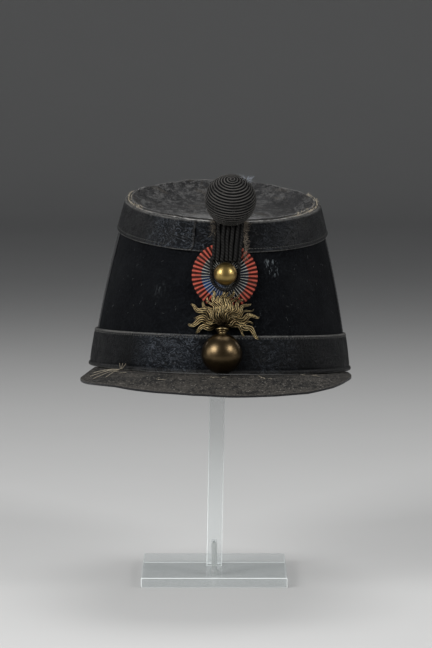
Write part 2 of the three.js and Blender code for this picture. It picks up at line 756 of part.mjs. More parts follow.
hat.add(
  piece('crown_shell', crownShell(), finish(0x14161c, 0.95, 0)),
  piece('crown_top', crownTop(), finish(0x1f2022, 0.5, 0)),
  piece('top_band', topBand(), finish(0x1a1c20, 0.5, 0)),
  piece('bottom_band', bottomBand(), finish(0x17191e, 0.45, 0)),
  piece('peak', peak(), finish(0x33302d, 0.7, 0)),
  piece('side_piping_left', sidePiping(-(90 - SEAM_LEFT) * DEG), finish(0x0c0c0e, 0.8, 0)),
  piece('side_piping_right', sidePiping((90 - SEAM_RIGHT) * DEG), finish(0x0c0c0e, 0.8, 0)),
  piece('cockade', cockade(), finish(0xa83c2c, 0.7, 0)),
  piece('button', button(), finish(0xb08d3c, 0.3, 1)),
  piece('cord_bundle', cordBundle(), finish(0x26231f, 0.95, 0)),
  piece('wound_ball', woundBall(), finish(0x2b2926, 0.95, 0)),
  piece('grenade_badge', badge(), finish(0x97804a, 0.35, 1)),
);

const shako = new THREE.Group();
shako.add(
  piece('stand_base', standBase(), finish(0xdfe6e6, 0.05, 0)),
  piece('stand_post', standPost(), finish(0xdfe6e6, 0.05, 0)),
  piece('stand_screw', standScrew(), finish(0xc8c8c4, 0.3, 1)),
  hat,
);

export default shako;
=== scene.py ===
"""A worn shako hat on its clear display stand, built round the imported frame."""

import math
import random

import bmesh
import bpy
from bpy.props import FloatProperty, FloatVectorProperty, IntProperty, PointerProperty
from mathutils import Matrix, Vector, noise


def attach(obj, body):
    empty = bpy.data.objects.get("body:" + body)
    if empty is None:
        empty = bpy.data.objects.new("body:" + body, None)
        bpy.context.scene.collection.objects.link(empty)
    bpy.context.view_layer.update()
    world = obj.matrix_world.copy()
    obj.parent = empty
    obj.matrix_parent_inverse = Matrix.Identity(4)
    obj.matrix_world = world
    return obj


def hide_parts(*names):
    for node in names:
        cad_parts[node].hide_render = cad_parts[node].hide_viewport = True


bl_info = {
    "name": "Worn Shako",
    "version": (1, 0, 0),
    "blender": (4, 5, 0),
    "location": "View3D > Sidebar > Shako",
    "description": "Builds a cloth and leather shako with its trimmings on a clear post stand",
    "category": "Object",
}

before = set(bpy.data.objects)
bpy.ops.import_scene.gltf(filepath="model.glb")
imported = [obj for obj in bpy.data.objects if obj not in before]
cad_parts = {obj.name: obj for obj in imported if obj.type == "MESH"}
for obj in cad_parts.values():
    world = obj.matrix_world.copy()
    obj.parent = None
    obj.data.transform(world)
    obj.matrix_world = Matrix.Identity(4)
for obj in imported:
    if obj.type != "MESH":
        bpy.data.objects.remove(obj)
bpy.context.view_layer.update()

# The photograph's frame, which the camera's lens is worked out for
PHOTO_HEIGHT = 648
SENSOR = 36.0
FOCAL_PIXELS = 3230.0
CAMERA_AT = (0.0012, -2.18, 0.386)
CAMERA_PITCH = math.radians(5.6)

# Corners closer than this become one
MERGE = 1e-7
# How far the floor lies under the stand, so that the two faces don't fight
FLOOR_BELOW = 0.0003

# Shares of a piece's grid: the rows of the cockade's front, the rows that close a band's inner
# face and the columns of a flame's front
COCKADE_FRONT = 0.62
BAND_INNER = 0.12
FLAME_FRONT = 0.7

# How far the lapped end of a band is pared thin, and how far it is rubbed
PARED = 0.005
RUBBED_END = 0.0008

# How bright the grenade's ball and neck are beside the crest of a flame
BALL_WEAR = 0.58
NECK_WEAR = 0.7


def length(name, description, default):
    """A size in metres."""
    return FloatProperty(
        name=name, description=description, default=default, min=0, precision=5, unit="LENGTH"
    )


def shift(name, description, default):
    """A place in metres, which may be negative."""
    return FloatProperty(name=name, description=description, default=default, precision=5, unit="LENGTH")


def angle(name, description, degrees):
    """An angle, kept in radians."""
    return FloatProperty(name=name, description=description, default=math.radians(degrees), unit="ROTATION")


def colour(name, description, default):
    """A linear colour."""
    return FloatVectorProperty(
        name=name, description=description, default=default, min=0, max=1, size=3, subtype="COLOR"
    )


class ShakoSizes(bpy.types.PropertyGroup):
    """Sizes of the crown, its leather and how the hat sits."""

    gap: length("Gap", "Clearance between touching pieces", 0.0003)
    rim_half_width: length("Rim half width", "Crown at the rim, side to side, halved", 0.0865)
    rim_half_length: length("Rim half length", "Crown at the rim, front to back, halved", 0.1038)
    top_half_width: length("Top half width", "Crown at the top, side to side, halved", 0.0643)
    top_half_length: length("Top half length", "Crown at the top, front to back, halved", 0.082)
    top_setback: shift("Top setback", "How far the top's middle lies behind the rim's", 0.0024)
    crown_height: length("Crown height", "Height in the middle of the top", 0.1123)
    top_fall: angle("Top fall", "Slope of the top towards the front", 9.65)
    crown_swell: length("Crown swell", "How far the wall bulges half way up", 0.0022)
    wall: length("Wall", "Thickness of the crown", 0.0026)
    top_thick: length("Top thickness", "Thickness of the leather top", 0.002)
    top_sink: length("Top sink", "Depth of the top below its rim", 0.0065)
    top_bead: length("Rim bead", "Height of the rim's bead", 0.0016)
    band_thick: length("Band thickness", "Thickness of both leather bands", 0.0016)
    bottom_band: length("Bottom band", "Height of the bottom band", 0.025)
    top_band: length("Top band", "Height of the top band", 0.02)
    lap: length("Lap", "How far a band laps over itself", 0.012)
    lap_corner: length("Lap corner", "Radius of the top band's rounded end", 0.004)
    top_lap_at: shift("Top lap", "Where the top band's end shows, across the front", -0.0195)
    peak_thick: length("Peak thickness", "Thickness of the peak", 0.0023)
    peak_reach: length("Peak reach", "How far the peak stands out in front", 0.046)
    peak_side: length("Peak side", "How far the peak stands out at the sides", 0.0029)
    peak_shift: shift("Peak shift", "How far the peak sits off the middle", -0.0046)
    peak_corners: length("Peak corners", "How far the corners lie ahead of the middle", 0.05)
    peak_squareness: FloatProperty(
        name="Peak squareness", description="2 is round, more is squarer", default=2.6, min=1
    )
    peak_drop: length("Peak drop", "How far the peak's edge hangs below the rim", 0.0102)
    peak_span: angle("Peak span", "How far the peak reaches round each side", 73)
    peak_camber: length("Peak camber", "How much the peak arches", 0.0012)
    piping: length("Piping", "Width of the side piping", 0.0016)
    piping_height: length("Piping height", "How far the piping stands out", 0.001)
    seam_left: angle("Left seam", "How far the left seam lies ahead of the side", 9)
    seam_right: angle("Right seam", "How far the right seam lies ahead of the side", 13)
    hat_x: shift("Hat across", "Where the hat sits across the stand", 0.0036)
    rim_height: length("Rim height", "Height of the rim above the floor", 0.1432)
    tilt_back: angle("Tilt back", "How far the hat leans back", 3.7)
    tilt_right: angle("Tilt right", "How far the hat leans to the right", 1.2)
    turn: angle("Turn", "How far the hat is turned", 2)


class TrimSizes(bpy.types.PropertyGroup):
    """Sizes of the cockade, button, cords, ball and badge."""

    cockade_radius: length("Cockade radius", "Outer radius of the cockade", 0.0214)
    cockade_x: shift("Cockade across", "Cockade's middle across the front", -0.0013)
    cockade_up: length("Cockade height", "Cockade's middle above the rim", 0.0634)
    cockade_thick: length("Cockade thickness", "Leather of the cockade", 0.0012)
    pleats: IntProperty(name="Pleats", description="Folds round the cockade", default=44)
    pleat_depth: length("Pleat depth", "Height of a fold", 0.001)
    button_radius: length("Button radius", "Radius of the round button", 0.0075)
    button_depth: length("Button depth", "How far the button stands out", 0.012)
    cord_radius: length("Cord radius", "Radius of one cord", 0.00115)
    ball_radius: length("Ball radius", "Radius of the wound ball", 0.0168)
    ball_x: shift("Ball across", "Ball's middle across the front", 0.0014)
    ball_ahead: length("Ball ahead", "Ball's middle ahead of the top band", 0.0102)
    ball_up: length("Ball height", "Ball's middle above the top's front edge", 0.0144)
    ball_turns: IntProperty(name="Turns", description="Turns of cord from pole to pole", default=27)
    ball_lean: angle("Ball lean", "How far the winding leans forward", 36)
    groove: length("Groove", "Depth between two turns", 0.0009)
    stem_half_top: length("Bundle half width, top", "Bundle of cords under the ball, halved", 0.011)
    stem_half_low: length("Bundle half width, low", "Bundle of cords above the button, halved", 0.0094)
    stem_backing: length("Bundle backing", "Thickness behind the cords", 0.002)
    grenade_radius: length("Grenade radius", "Radius of the grenade's ball", 0.0132)
    grenade_depth: length("Grenade depth", "How far the ball stands out", 0.0115)
    grenade_x: shift("Grenade across", "Grenade's middle across the front", -0.0027)
    grenade_up: length("Grenade height", "Grenade's middle above the rim", 0.0132)
    neck_radius: length("Neck radius", "Radius of the neck's ring", 0.0045)
    neck_height: length("Neck height", "Height of the neck", 0.0034)
    flame_reach: length("Flame reach", "How far the flames spread sideways", 0.0242)
    flame_height: length("Flame height", "How far the flames rise", 0.0234)
    flame_width: length("Flame width", "Width of one tongue", 0.0076)
    flame_thick: length("Flame thickness", "Relief of one tongue", 0.0022)
    flame_wave: length("Flame wave", "How far a tongue sways to either side", 0.0011)
    flame_period: length("Flame period", "Length of one sway", 0.0098)


class ShakoColours(bpy.types.PropertyGroup):
    """Colours of the cloth, leather, metal and cords."""

    cloth: colour("Cloth", "Dark blue wool", (0.0013, 0.0016, 0.0022))
    cloth_worn: colour("Worn cloth", "Where the nap has gone", (0.0052, 0.0061, 0.0075))
    leather: colour("Leather", "Black band leather", (0.0011, 0.0013, 0.0017))
    leather_worn: colour("Worn leather", "Rubbed edges", (0.15, 0.147, 0.14))
    tan: colour("Bare leather", "Where the black has gone", (0.38, 0.335, 0.26))
    red: colour("Red", "Cockade's outer ring", (0.34, 0.032, 0.012))
    white: colour("White", "Pale lines on the cockade's folds", (0.36, 0.36, 0.32))
    blue: colour("Blue", "Cockade's inner ring", (0.008, 0.045, 0.15))
    brass: colour("Brass", "Bright brass of the button", (0.29, 0.205, 0.072))
    badge: colour("Badge brass", "Duller brass of the badge", (0.41, 0.32, 0.165))
    brass_brown: colour("Brown brass", "The grenade's tarnished ball", (0.085, 0.06, 0.032))
    brass_dark: colour("Old brass", "Brass in the hollows", (0.008, 0.006, 0.004))
    cord: colour("Cord", "Faded black cord", (0.048, 0.046, 0.043))
    thread: colour("Thread", "Loose tan thread", (0.42, 0.37, 0.28))


# Rows of a band's outer face: up is a share of its height, proud a share of its thickness.
BOTTOM_BAND_ROWS = (
    {"up": 0, "proud": 0.1},
    {"up": 0, "proud": 0.8},
    {"up": 0.02, "proud": 1.25},
    {"up": 0.055, "proud": 1.4},
    {"up": 0.095, "proud": 1.25},
    {"up": 0.125, "proud": 0.75},
    {"up": 0.16, "proud": 0.95},
    {"up": 0.3, "proud": 1.02},
    {"up": 0.5, "proud": 1.05},
    {"up": 0.7, "proud": 1.02},
    {"up": 0.88, "proud": 0.98},
    {"up": 0.92, "proud": 0.88},
    {"up": 0.95, "proud": 1},
    {"up": 0.985, "proud": 0.95},
    {"up": 1, "proud": 0.6},
    {"up": 1, "proud": 0},
)
TOP_BAND_ROWS = (
    {"up": 0, "proud": 0},
    {"up": 0, "proud": 0.6},
    {"up": 0.02, "proud": 0.95},
    {"up": 0.06, "proud": 1.12},
    {"up": 0.1, "proud": 1},
    {"up": 0.125, "proud": 0.84},
    {"up": 0.16, "proud": 0.98},
    {"up": 0.4, "proud": 1.04},
    {"up": 0.7, "proud": 1.02},
    {"up": 0.93, "proud": 1},
    {"up": 0.985, "proud": 0.9},
    {"up": 1, "proud": 0.55},
    {"up": 1, "proud": 0},
)

# How far the peak's edge hangs: across is a share of its half width, drop a share of the peak's drop.
PEAK_EDGE = (
    {"across": -1, "drop": 0.6},
    {"across": -0.75, "drop": 0.63},
    {"across": -0.45, "drop": 0.87},
    {"across": -0.2, "drop": 0.99},
    {"across": 0.05, "drop": 1},
    {"across": 0.4, "drop": 0.93},
    {"across": 0.63, "drop": 0.76},
    {"across": 0.82, "drop": 0.45},
    {"across": 0.93, "drop": 0.14},
    {"across": 1, "drop": 0.02},
)

# Tongues of flame: tips as shares of the flames' reach and height, how far each arches upward as a
# share of its length, its width, the ridges along it and how far in front of the rest it lies.
FLAMES = (
    {"across": -0.93, "up": 0.03, "arch": 0.2, "wide": 0.9, "ridges": 3, "front": 0},
    {"across": -0.72, "up": -0.12, "arch": 0.12, "wide": 0.85, "ridges": 3, "front": 0.4},
    {"across": -0.88, "up": 0.6, "arch": 0.1, "wide": 0.9, "ridges": 3, "front": 0},
    {"across": -0.76, "up": 0.3, "arch": 0.12, "wide": 0.6, "ridges": 2, "front": 0.5},
    {"across": -0.58, "up": 0.72, "arch": 0.04, "wide": 0.75, "ridges": 3, "front": 0.3},
    {"across": -0.3, "up": 1.03, "arch": 0.04, "wide": 0.8, "ridges": 3, "front": 0},
    {"across": -0.44, "up": 0.88, "arch": 0.03, "wide": 0.55, "ridges": 2, "front": 0},
    {"across": -0.14, "up": 0.93, "arch": 0.02, "wide": 0.6, "ridges": 2, "front": 0.4},
    {"across": -0.01, "up": 1.04, "arch": 0, "wide": 0.75, "ridges": 3, "front": 0},
    {"across": 0.13, "up": 1.02, "arch": 0, "wide": 0.7, "ridges": 2, "front": 0.5},
    {"across": 0.28, "up": 1.06, "arch": 0.02, "wide": 0.75, "ridges": 3, "front": 0},
    {"across": 0.41, "up": 0.96, "arch": 0.03, "wide": 0.6, "ridges": 2, "front": 0.4},
    {"across": 0.55, "up": 0.83, "arch": 0.03, "wide": 0.75, "ridges": 3, "front": 0},
    {"across": 0.75, "up": 0.72, "arch": 0.04, "wide": 0.7, "ridges": 3, "front": 0.3},
    {"across": 0.84, "up": 0.56, "arch": 0.04, "wide": 0.45, "ridges": 2, "front": 0},
    {"across": 0.9, "up": 0.4, "arch": 0.06, "wide": 0.6, "ridges": 2, "front": 0.5},
    {"across": 1.01, "up": 0.36, "arch": 0.06, "wide": 0.8, "ridges": 3, "front": 0},
    {"across": 0.84, "up": 0.12, "arch": 0.1, "wide": 0.6, "ridges": 2, "front": 0.4},
    {"across": 1, "up": -0.27, "arch": 0.22, "wide": 0.95, "ridges": 3, "front": 0},
    {"across": 0.62, "up": -0.2, "arch": 0.26, "wide": 0.6, "ridges": 2, "front": 0.2},
    {"across": -0.5, "up": 0.52, "arch": 0.05, "wide": 0.65, "ridges": 3, "front": 0.8},
    {"across": -0.22, "up": 0.7, "arch": 0, "wide": 0.65, "ridges": 2, "front": 1},
    {"across": 0.04, "up": 0.72, "arch": 0, "wide": 0.65, "ridges": 3, "front": 1.1},
    {"across": 0.28, "up": 0.66, "arch": 0, "wide": 0.65, "ridges": 2, "front": 1},
    {"across": 0.52, "up": 0.5, "arch": 0.03, "wide": 0.65, "ridges": 3, "front": 0.8},
    {"across": -0.48, "up": 0.2, "arch": 0.08, "wide": 0.6, "ridges": 2, "front": 0.7},
    {"across": 0.5, "up": 0.2, "arch": 0.08, "wide": 0.6, "ridges": 2, "front": 0.8},
)


def mix(a, b, share):
    """A value between two others."""
    return a + (b - a) * share


def clamp(value, low=0.0, high=1.0):
    """The value, kept between two limits."""
    return max(low, min(high, value))


def smooth(value):
    """Eases from 0 to 1."""
    value = clamp(value)
    return value * value * (3 - 2 * value)


def look_up(table, key, column, at):
    """Value of a table's column at a place between its rows."""
    for row, after in zip(table, table[1:]):
        if at <= after[key]:
            share = clamp((at - row[key]) / (after[key] - row[key]))
            return mix(row[column], after[column], share)
    return table[-1][column]


def along(points, share):
    """A point of the smooth curve through the points."""
    last = len(points) - 1
    place = clamp(share) * last
    i = min(int(place), last - 1)
    t = place - i
    a, b = points[max(i - 1, 0)], points[i]
    c, d = points[i + 1], points[min(i + 2, last)]
    return 0.5 * (2 * b + (c - a) * t + (2 * a - 5 * b + 4 * c - d) * t * t + (3 * b - a - 3 * c + d) * t**3)


class Crown:
    """The crown's surface, in the hat's own frame: the rim at zero height, the front towards -Y."""

    def __init__(self, sizes):
        self.s = sizes
        self.slope = math.tan(sizes.top_fall)

    def oval(self, share):
        """Half width, half length and setback at a share of the height."""
        swell = self.s.crown_swell * 4 * share * (1 - share)
        wide = mix(self.s.rim_half_width, self.s.top_half_width, share) + swell
        long = mix(self.s.rim_half_length, self.s.top_half_length, share) + swell
        return wide, long, self.s.top_setback * share

    def top_height(self, around, out=0.0):
        """Height of the sloping top's edge; around is 0 in front."""
        return self.s.crown_height - self.slope * (self.s.top_half_length + out) * math.cos(around)

    def point(self, around, up, out):
        """A point out from the wall."""
        wide, long, back = self.oval(up / self.top_height(around))
        return Vector(((wide + out) * math.sin(around), back - (long + out) * math.cos(around), up))

    def face(self, x, up, out):
        """The point at the front that lies x across."""
        around = 0.0
        for _ in range(6):
            wide = self.oval(up / self.top_height(around))[0]
            around = math.asin(clamp(x / (wide + out), -1, 1))
        return self.point(around, up, out)

    def lean(self, up):
        """How far the front leans back."""
        step = 0.001
        low, high = self.face(0, up - step, 0), self.face(0, up + step, 0)
        return math.atan2(high.y - low.y, high.z - low.z)

    def top(self, around, inset, rise):
        """A point over the top's sloping plane, inset from the cloth."""
        x = (self.s.top_half_width - inset) * math.sin(around)
        y = -(self.s.top_half_length - inset) * math.cos(around)
        return Vector((x, self.s.top_setback + y, self.s.crown_height + self.slope * y + rise))

    def peak_edge(self, turn):
        """A point of the peak's outer edge."""
        s = self.s
        power = 2 / s.peak_squareness
        across = math.copysign(abs(math.sin(turn)) ** power, turn)
        ahead = max(math.cos(turn), 0.0) ** power
        front = s.rim_half_length + s.band_thick + s.gap + s.peak_reach
        drop = s.peak_drop * look_up(PEAK_EDGE, "across", "drop", across)
        x = s.peak_shift + across * (s.rim_half_width + s.peak_side)
        return Vector((x, -mix(s.peak_corners, front, ahead), -s.gap - drop))

    def peak(self, share, reach):
        """A point on the peak: share runs from left to right, reach from the fold to the edge."""
        s = self.s
        fold = self.point(share * s.peak_span, 0, s.gap + s.band_thick)
        fold.z = -s.gap
        point = fold.lerp(self.peak_edge(share * math.pi / 2), reach)
        arch = s.peak_camber * 4 * reach * (1 - reach)
        wave = noise.noise(Vector((point.x * 30, point.y * 30, 3))) * 0.0006 * smooth((reach - 0.1) * 3)
        point.z += arch * min(1, 2 * (1 - abs(share))) + wave
        return point


def hat_place(sizes):
    """Puts the hat's own frame where the hat sits on its stand."""
    return (
        Matrix.Translation((sizes.hat_x, 0, sizes.rim_height))
        @ Matrix.Rotation(sizes.tilt_right, 4, "Y")
        @ Matrix.Rotation(-sizes.tilt_back, 4, "X")
        @ Matrix.Rotation(sizes.turn, 4, "Z")
    )


def on_face(crown, x, up, out):
    """Stands a shape made along +Z on the front, pointing out of the cloth."""
    turn = Matrix.Rotation(math.pi / 2 - crown.lean(up), 4, "X")
    return Matrix.Translation(crown.face(x, up, out)) @ turn


def grid(bm, place, columns, rows):
    """A grid whose two shares run from 0 to 1, each corner put in its place."""
    bm.loops.layers.uv.verify()
    made = bmesh.ops.create_grid(bm, x_segments=columns, y_segments=rows, size=0.5, calc_uvs=True)
    for vert in made["verts"]:
        vert.co = place(vert.co.x + 0.5, vert.co.y + 0.5)
    return made["verts"]


def mark(bm, verts, value_of):
    """Notes on each corner how far it stands out, worked out from its two shares."""
    layer = bm.loops.layers.uv.active
    fold = bm.verts.layers.float.get("fold")
    for vert in verts:
        uv = vert.link_loops[0][layer].uv
        vert[fold] = value_of(uv.x, uv.y)


def blank():
    """An empty mesh with the relief attribute."""
    bm = bmesh.new()
    bm.verts.layers.float.new("fold")
    return bm


def fill(bm):
    """Fills open ends."""
    open_edges = [edge for edge in bm.edges if edge.is_boundary]
    if open_edges:
        bmesh.ops.holes_fill(bm, edges=open_edges, sides=0)


def close(bm):
    """Closes seams and poles, and fills open ends."""
    bmesh.ops.remove_doubles(bm, verts=bm.verts, dist=MERGE)
    bmesh.ops.dissolve_degenerate(bm, dist=MERGE, edges=bm.edges)
    fill(bm)


def turned(bm, profile, steps):
    """A turned shape from its profile of radius and height."""
    verts = [bm.verts.new((radius, 0, height)) for radius, height in profile]
    edges = [bm.edges.new(pair) for pair in zip(verts, verts[1:])]
    bmesh.ops.spin(
        bm, geom=verts + edges, cent=(0, 0, 0), axis=(0, 0, 1), angle=math.tau, steps=steps, use_merge=True
    )
    bmesh.ops.remove_doubles(bm, verts=bm.verts, dist=MERGE)


def keep(bm, name, material, place, nodes=()):
    """Makes a finished piece that rides with the hat and stands for its nodes."""
    bmesh.ops.transform(bm, matrix=place, verts=bm.verts)
    bmesh.ops.recalc_face_normals(bm, faces=bm.faces)
    for face in bm.faces:
        face.smooth = True
    mesh = bpy.data.meshes.new(name)
    bm.to_mesh(mesh)
    bm.free()
    mesh.materials.append(material)
    piece = bpy.data.objects.new(name, mesh)
    bpy.context.scene.collection.objects.link(piece)
    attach(piece, "root")
    if nodes:
        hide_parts(*nodes)
    return piece


class Wire:
    """A socket that takes sums."""

    def __init__(self, shader, socket):
        self.shader = shader
        self.socket = socket

    def maths(self, operation, a, b=0.0):
        """The sum as a node."""
        return self.shader.node("ShaderNodeMath", {"operation": operation}, {0: a, 1: b})

    def __add__(self, other):
        return self.maths("ADD", self, other)

    __radd__ = __add__

    def __sub__(self, other):
        return self.maths("SUBTRACT", self, other)

    def __rsub__(self, other):
        return self.maths("SUBTRACT", other, self)

    def __mul__(self, other):
        return self.maths("MULTIPLY", self, other)

    __rmul__ = __mul__

    def __truediv__(self, other):
        return self.maths("DIVIDE", self, other)

    def __pow__(self, other):
        return self.maths("POWER", self, other)

    def __abs__(self):
        return self.maths("ABSOLUTE", self)


class Shader:
    """One material and the nodes that feed it."""

    def __init__(self, name):
        self.material = bpy.data.materials.new(name)
        self.material.use_nodes = True
        self.tree = self.material.node_tree
        self.surface = self.tree.nodes["Principled BSDF"]

    def feed(self, socket, value):
        """Links a wire to a socket, or sets its value."""
        if isinstance(value, Wire):
            self.tree.links.new(value.socket, socket)
        elif socket.type == "RGBA":
            socket.default_value = (*value, 1)
        else:
            socket.default_value = value

    def node(self, kind, settings=None, inputs=None, output=0):
        """Any node: its type, its settings and the values or wires of its sockets."""
        node = self.tree.nodes.new(kind)
        for key, value in (settings or {}).items():
            if key == "stops":
                self.set_stops(node.color_ramp, value)
            else:
                setattr(node, key, value)
        for key, value in (inputs or {}).items():
            self.feed(node.inputs[key], value)
        return Wire(self, node.outputs[output])

    @staticmethod
    def set_stops(ramp, stops):
        """Gives a ramp its stops, each a place and a value or a colour."""
        while len(ramp.elements) < len(stops):
            ramp.elements.new(1)
        for element, (place, value) in zip(ramp.elements, stops):
            element.position = place
            element.color = (*value, 1) if isinstance(value, tuple) else (value, value, value, 1)

    def place(self, stretch=(1, 1, 1)):
        """Places on the hat, stretched for a pattern that runs one way."""
        at = self.node("ShaderNodeTexCoord", output="Object")
        return self.node("ShaderNodeMapping", inputs={"Vector": at, "Scale": stretch})

    def laid(self, column):
        """The surface's own shares: 0 is along, 1 is across."""
        uv = self.node("ShaderNodeTexCoord", output="UV")
        return self.node("ShaderNodeSeparateXYZ", inputs={0: uv}, output=column)

    def fold(self):
        """How far the surface stands out, or how worn it is, as its corners note it."""
        return self.node("ShaderNodeAttribute", {"attribute_name": "fold"}, output="Fac")

    def noise(self, at, scale, detail=4.0, rough=0.6, warp=0.0):
        """Clouds from 0 to 1: how fine, how many layers, how rough and how far they are warped."""
        return self.node(
            "ShaderNodeTexNoise",
            inputs={"Vector": at, "Scale": scale, "Detail": detail, "Roughness": rough, "Distortion": warp},
        )

    def cells(self, at, scale, feature="F1"):
        """Distance in a pattern of cells: to a cell's middle, or to its edge."""
        return self.node("ShaderNodeTexVoronoi", {"feature": feature}, {"Vector": at, "Scale": scale})

    def ramp(self, value, *stops):
        """Values or colours between stops."""
        return self.node("ShaderNodeValToRGB", {"stops": stops}, {0: value})

    def rise(self, value, start, end, top=1.0):
        """Grows from nothing to the top between two values."""
        return self.ramp(value, (start, 0.0), (end, top))

    def fall(self, value, start, end, top=1.0):
        """Shrinks from the top to nothing between two values."""
        return self.ramp(value, (start, top), (end, 0.0))

    def blend(self, share, a, b):
        """From the first colour to the second."""
        return self.node("ShaderNodeMix", {"data_type": "RGBA"}, {0: share, 6: a, 7: b}, output=2)

    def lines(self, at, scale, width, patches, warp=1.0):
        """Thin wandering lines, in patches."""
        wander = self.noise(at, scale, 4, 0.6, warp)
        line = self.fall(abs(wander - 0.5), 0.0, width)
        return line * self.rise(self.noise(at, patches, 3, 0.6), 0.46, 0.6)

    def spot(self, at, centre, radius):
        """One at a place on the hat, fading to nothing a radius away."""
        apart = self.node("ShaderNodeVectorMath", {"operation": "DISTANCE"}, {0: at, 1: centre}, output=1)
        return self.fall(apart / radius, 0.45, 1.0)

    def relief(self, height, distance):
        """A bump; the distance is in metres."""
        return self.node("ShaderNodeBump", inputs={"Height": height, "Distance": distance})

    def finish(self, **sockets):
        """Feeds the surface and hands over the material."""
        for name, value in sockets.items():
            self.feed(self.surface.inputs[name.replace("_", " ")], value)
        return self.material


def wool(colours):
    """Felted dark blue wool, rubbed and a little linty, with a scuff beside the cockade."""
    sh = Shader("felted_wool")
    at = sh.place()
    cloudy = sh.noise(at, 26, 5, 0.65)
    felt = sh.noise(at, 620, 5, 0.75)
    nap = sh.noise(sh.place((1, 1, 0.3)), 260, 5, 0.7)
    worn = sh.rise(cloudy, 0.4, 0.75)
    base = sh.blend(worn * 0.7, colours.cloth, colours.cloth_worn)
    base = sh.blend(sh.rise(felt, 0.47, 0.62), base, colours.cloth_worn)
    base = sh.blend(sh.rise(nap, 0.5, 0.8, 0.7), base, (0.002, 0.002, 0.003))
    lint = sh.fall(sh.cells(at, 260), 0.05, 0.1)
    rare = sh.rise(sh.noise(at, 60, 2), 0.56, 0.64, 0.7)
    base = sh.blend(lint * rare, base, (0.16, 0.16, 0.15))
    strokes = sh.rise(sh.noise(sh.place((2.6, 1, 0.55)), 400, 2, 0.5, 0.4), 0.57, 0.64)
    scuffed = sh.spot(at, (0.0375, -0.074, 0.217), 0.0078)
    base = sh.blend(scuffed * strokes * 0.8, base, (0.12, 0.135, 0.145))
    rubbed = sh.spot(at, (-0.038, -0.078, 0.2035), 0.0075) + sh.spot(at, (-0.0263, -0.09, 0.19), 0.005)
    base = sh.blend(rubbed * strokes * 0.6, base, (0.045, 0.05, 0.053))
    base = sh.blend(sh.lines(at, 75, 0.006, 24) * 0.4, base, (0.03, 0.034, 0.038))
    height = sh.rise(felt, 0.35, 0.66) * 0.4 + nap * 0.8 + cloudy * 1.4
    return sh.finish(
        Base_Color=base,
        Roughness=0.95 - 0.2 * worn,
        Normal=sh.relief(height, 0.0011),
        Specular_IOR_Level=0.06,
    )


def band_leather(colours):
    """Black grained leather, crinkled, with a painted blue-grey sheen and painted highlights on its crinkles
    at the front left, and rubbed edges.
    """
    sh = Shader("band_leather")
    at = sh.place()
    fine = sh.noise(at, 520, 5, 0.7)
    grain = sh.rise(fine, 0.4, 0.6)
    crease = sh.noise(sh.place((1, 1, 1.5)), 135, 3, 0.6, 1.9)
    wrinkle = sh.fall(abs(crease - 0.5), 0.0, 0.034)
    cloudy = sh.noise(at, 44, 5, 0.65)
    patchy = sh.ramp(fine + 0.7 * (cloudy - 0.5), (0.38, 0.25), (0.56, 1.0))
    # Spots at the front left and right where a painted highlight lies on the leather
    painted_highlight_spots = sum(
        amount * sh.spot(at, middle, radius)
        for middle, radius, amount in (
            ((-0.034, -0.1, 0.166), 0.034, 1.0),
            ((-0.032, -0.08, 0.237), 0.036, 0.9),
            ((0.038, -0.095, 0.163), 0.024, 0.35),
            ((0.045, -0.07, 0.236), 0.026, 0.3),
        )
    )
    # A painted sheen: blue-grey colour in patches, strongest in the painted highlight spots
    painted_sheen = sh.ramp(cloudy, (0.4, 0.25), (0.58, 1.0)) * (0.05 + painted_highlight_spots)
    base = sh.blend(painted_sheen * (0.2 + 0.8 * grain), colours.leather, (0.0105, 0.0132, 0.0175))
    # Crinkle lines painted lighter, mostly inside the painted highlight spots: painted highlights on the
    # crinkles
    base = sh.blend(wrinkle * (0.1 + 0.9 * painted_highlight_spots), base, (0.095, 0.107, 0.125))
    base = sh.blend(sh.rise(fine, 0.6, 0.68, 0.5), base, (0.024, 0.027, 0.031))
    base = sh.blend(sh.fold() * patchy * 0.9, base, colours.leather_worn)
    height = (1 - wrinkle) * 0.5 + grain * 0.35 + cloudy * 1.4
    shine = 0.42 + 0.16 * sh.rise(cloudy, 0.38, 0.62) - 0.16 * painted_highlight_spots
    return sh.finish(
        Base_Color=base, Roughness=shine, Normal=sh.relief(height, 0.0012), Specular_IOR_Level=0.09
    )


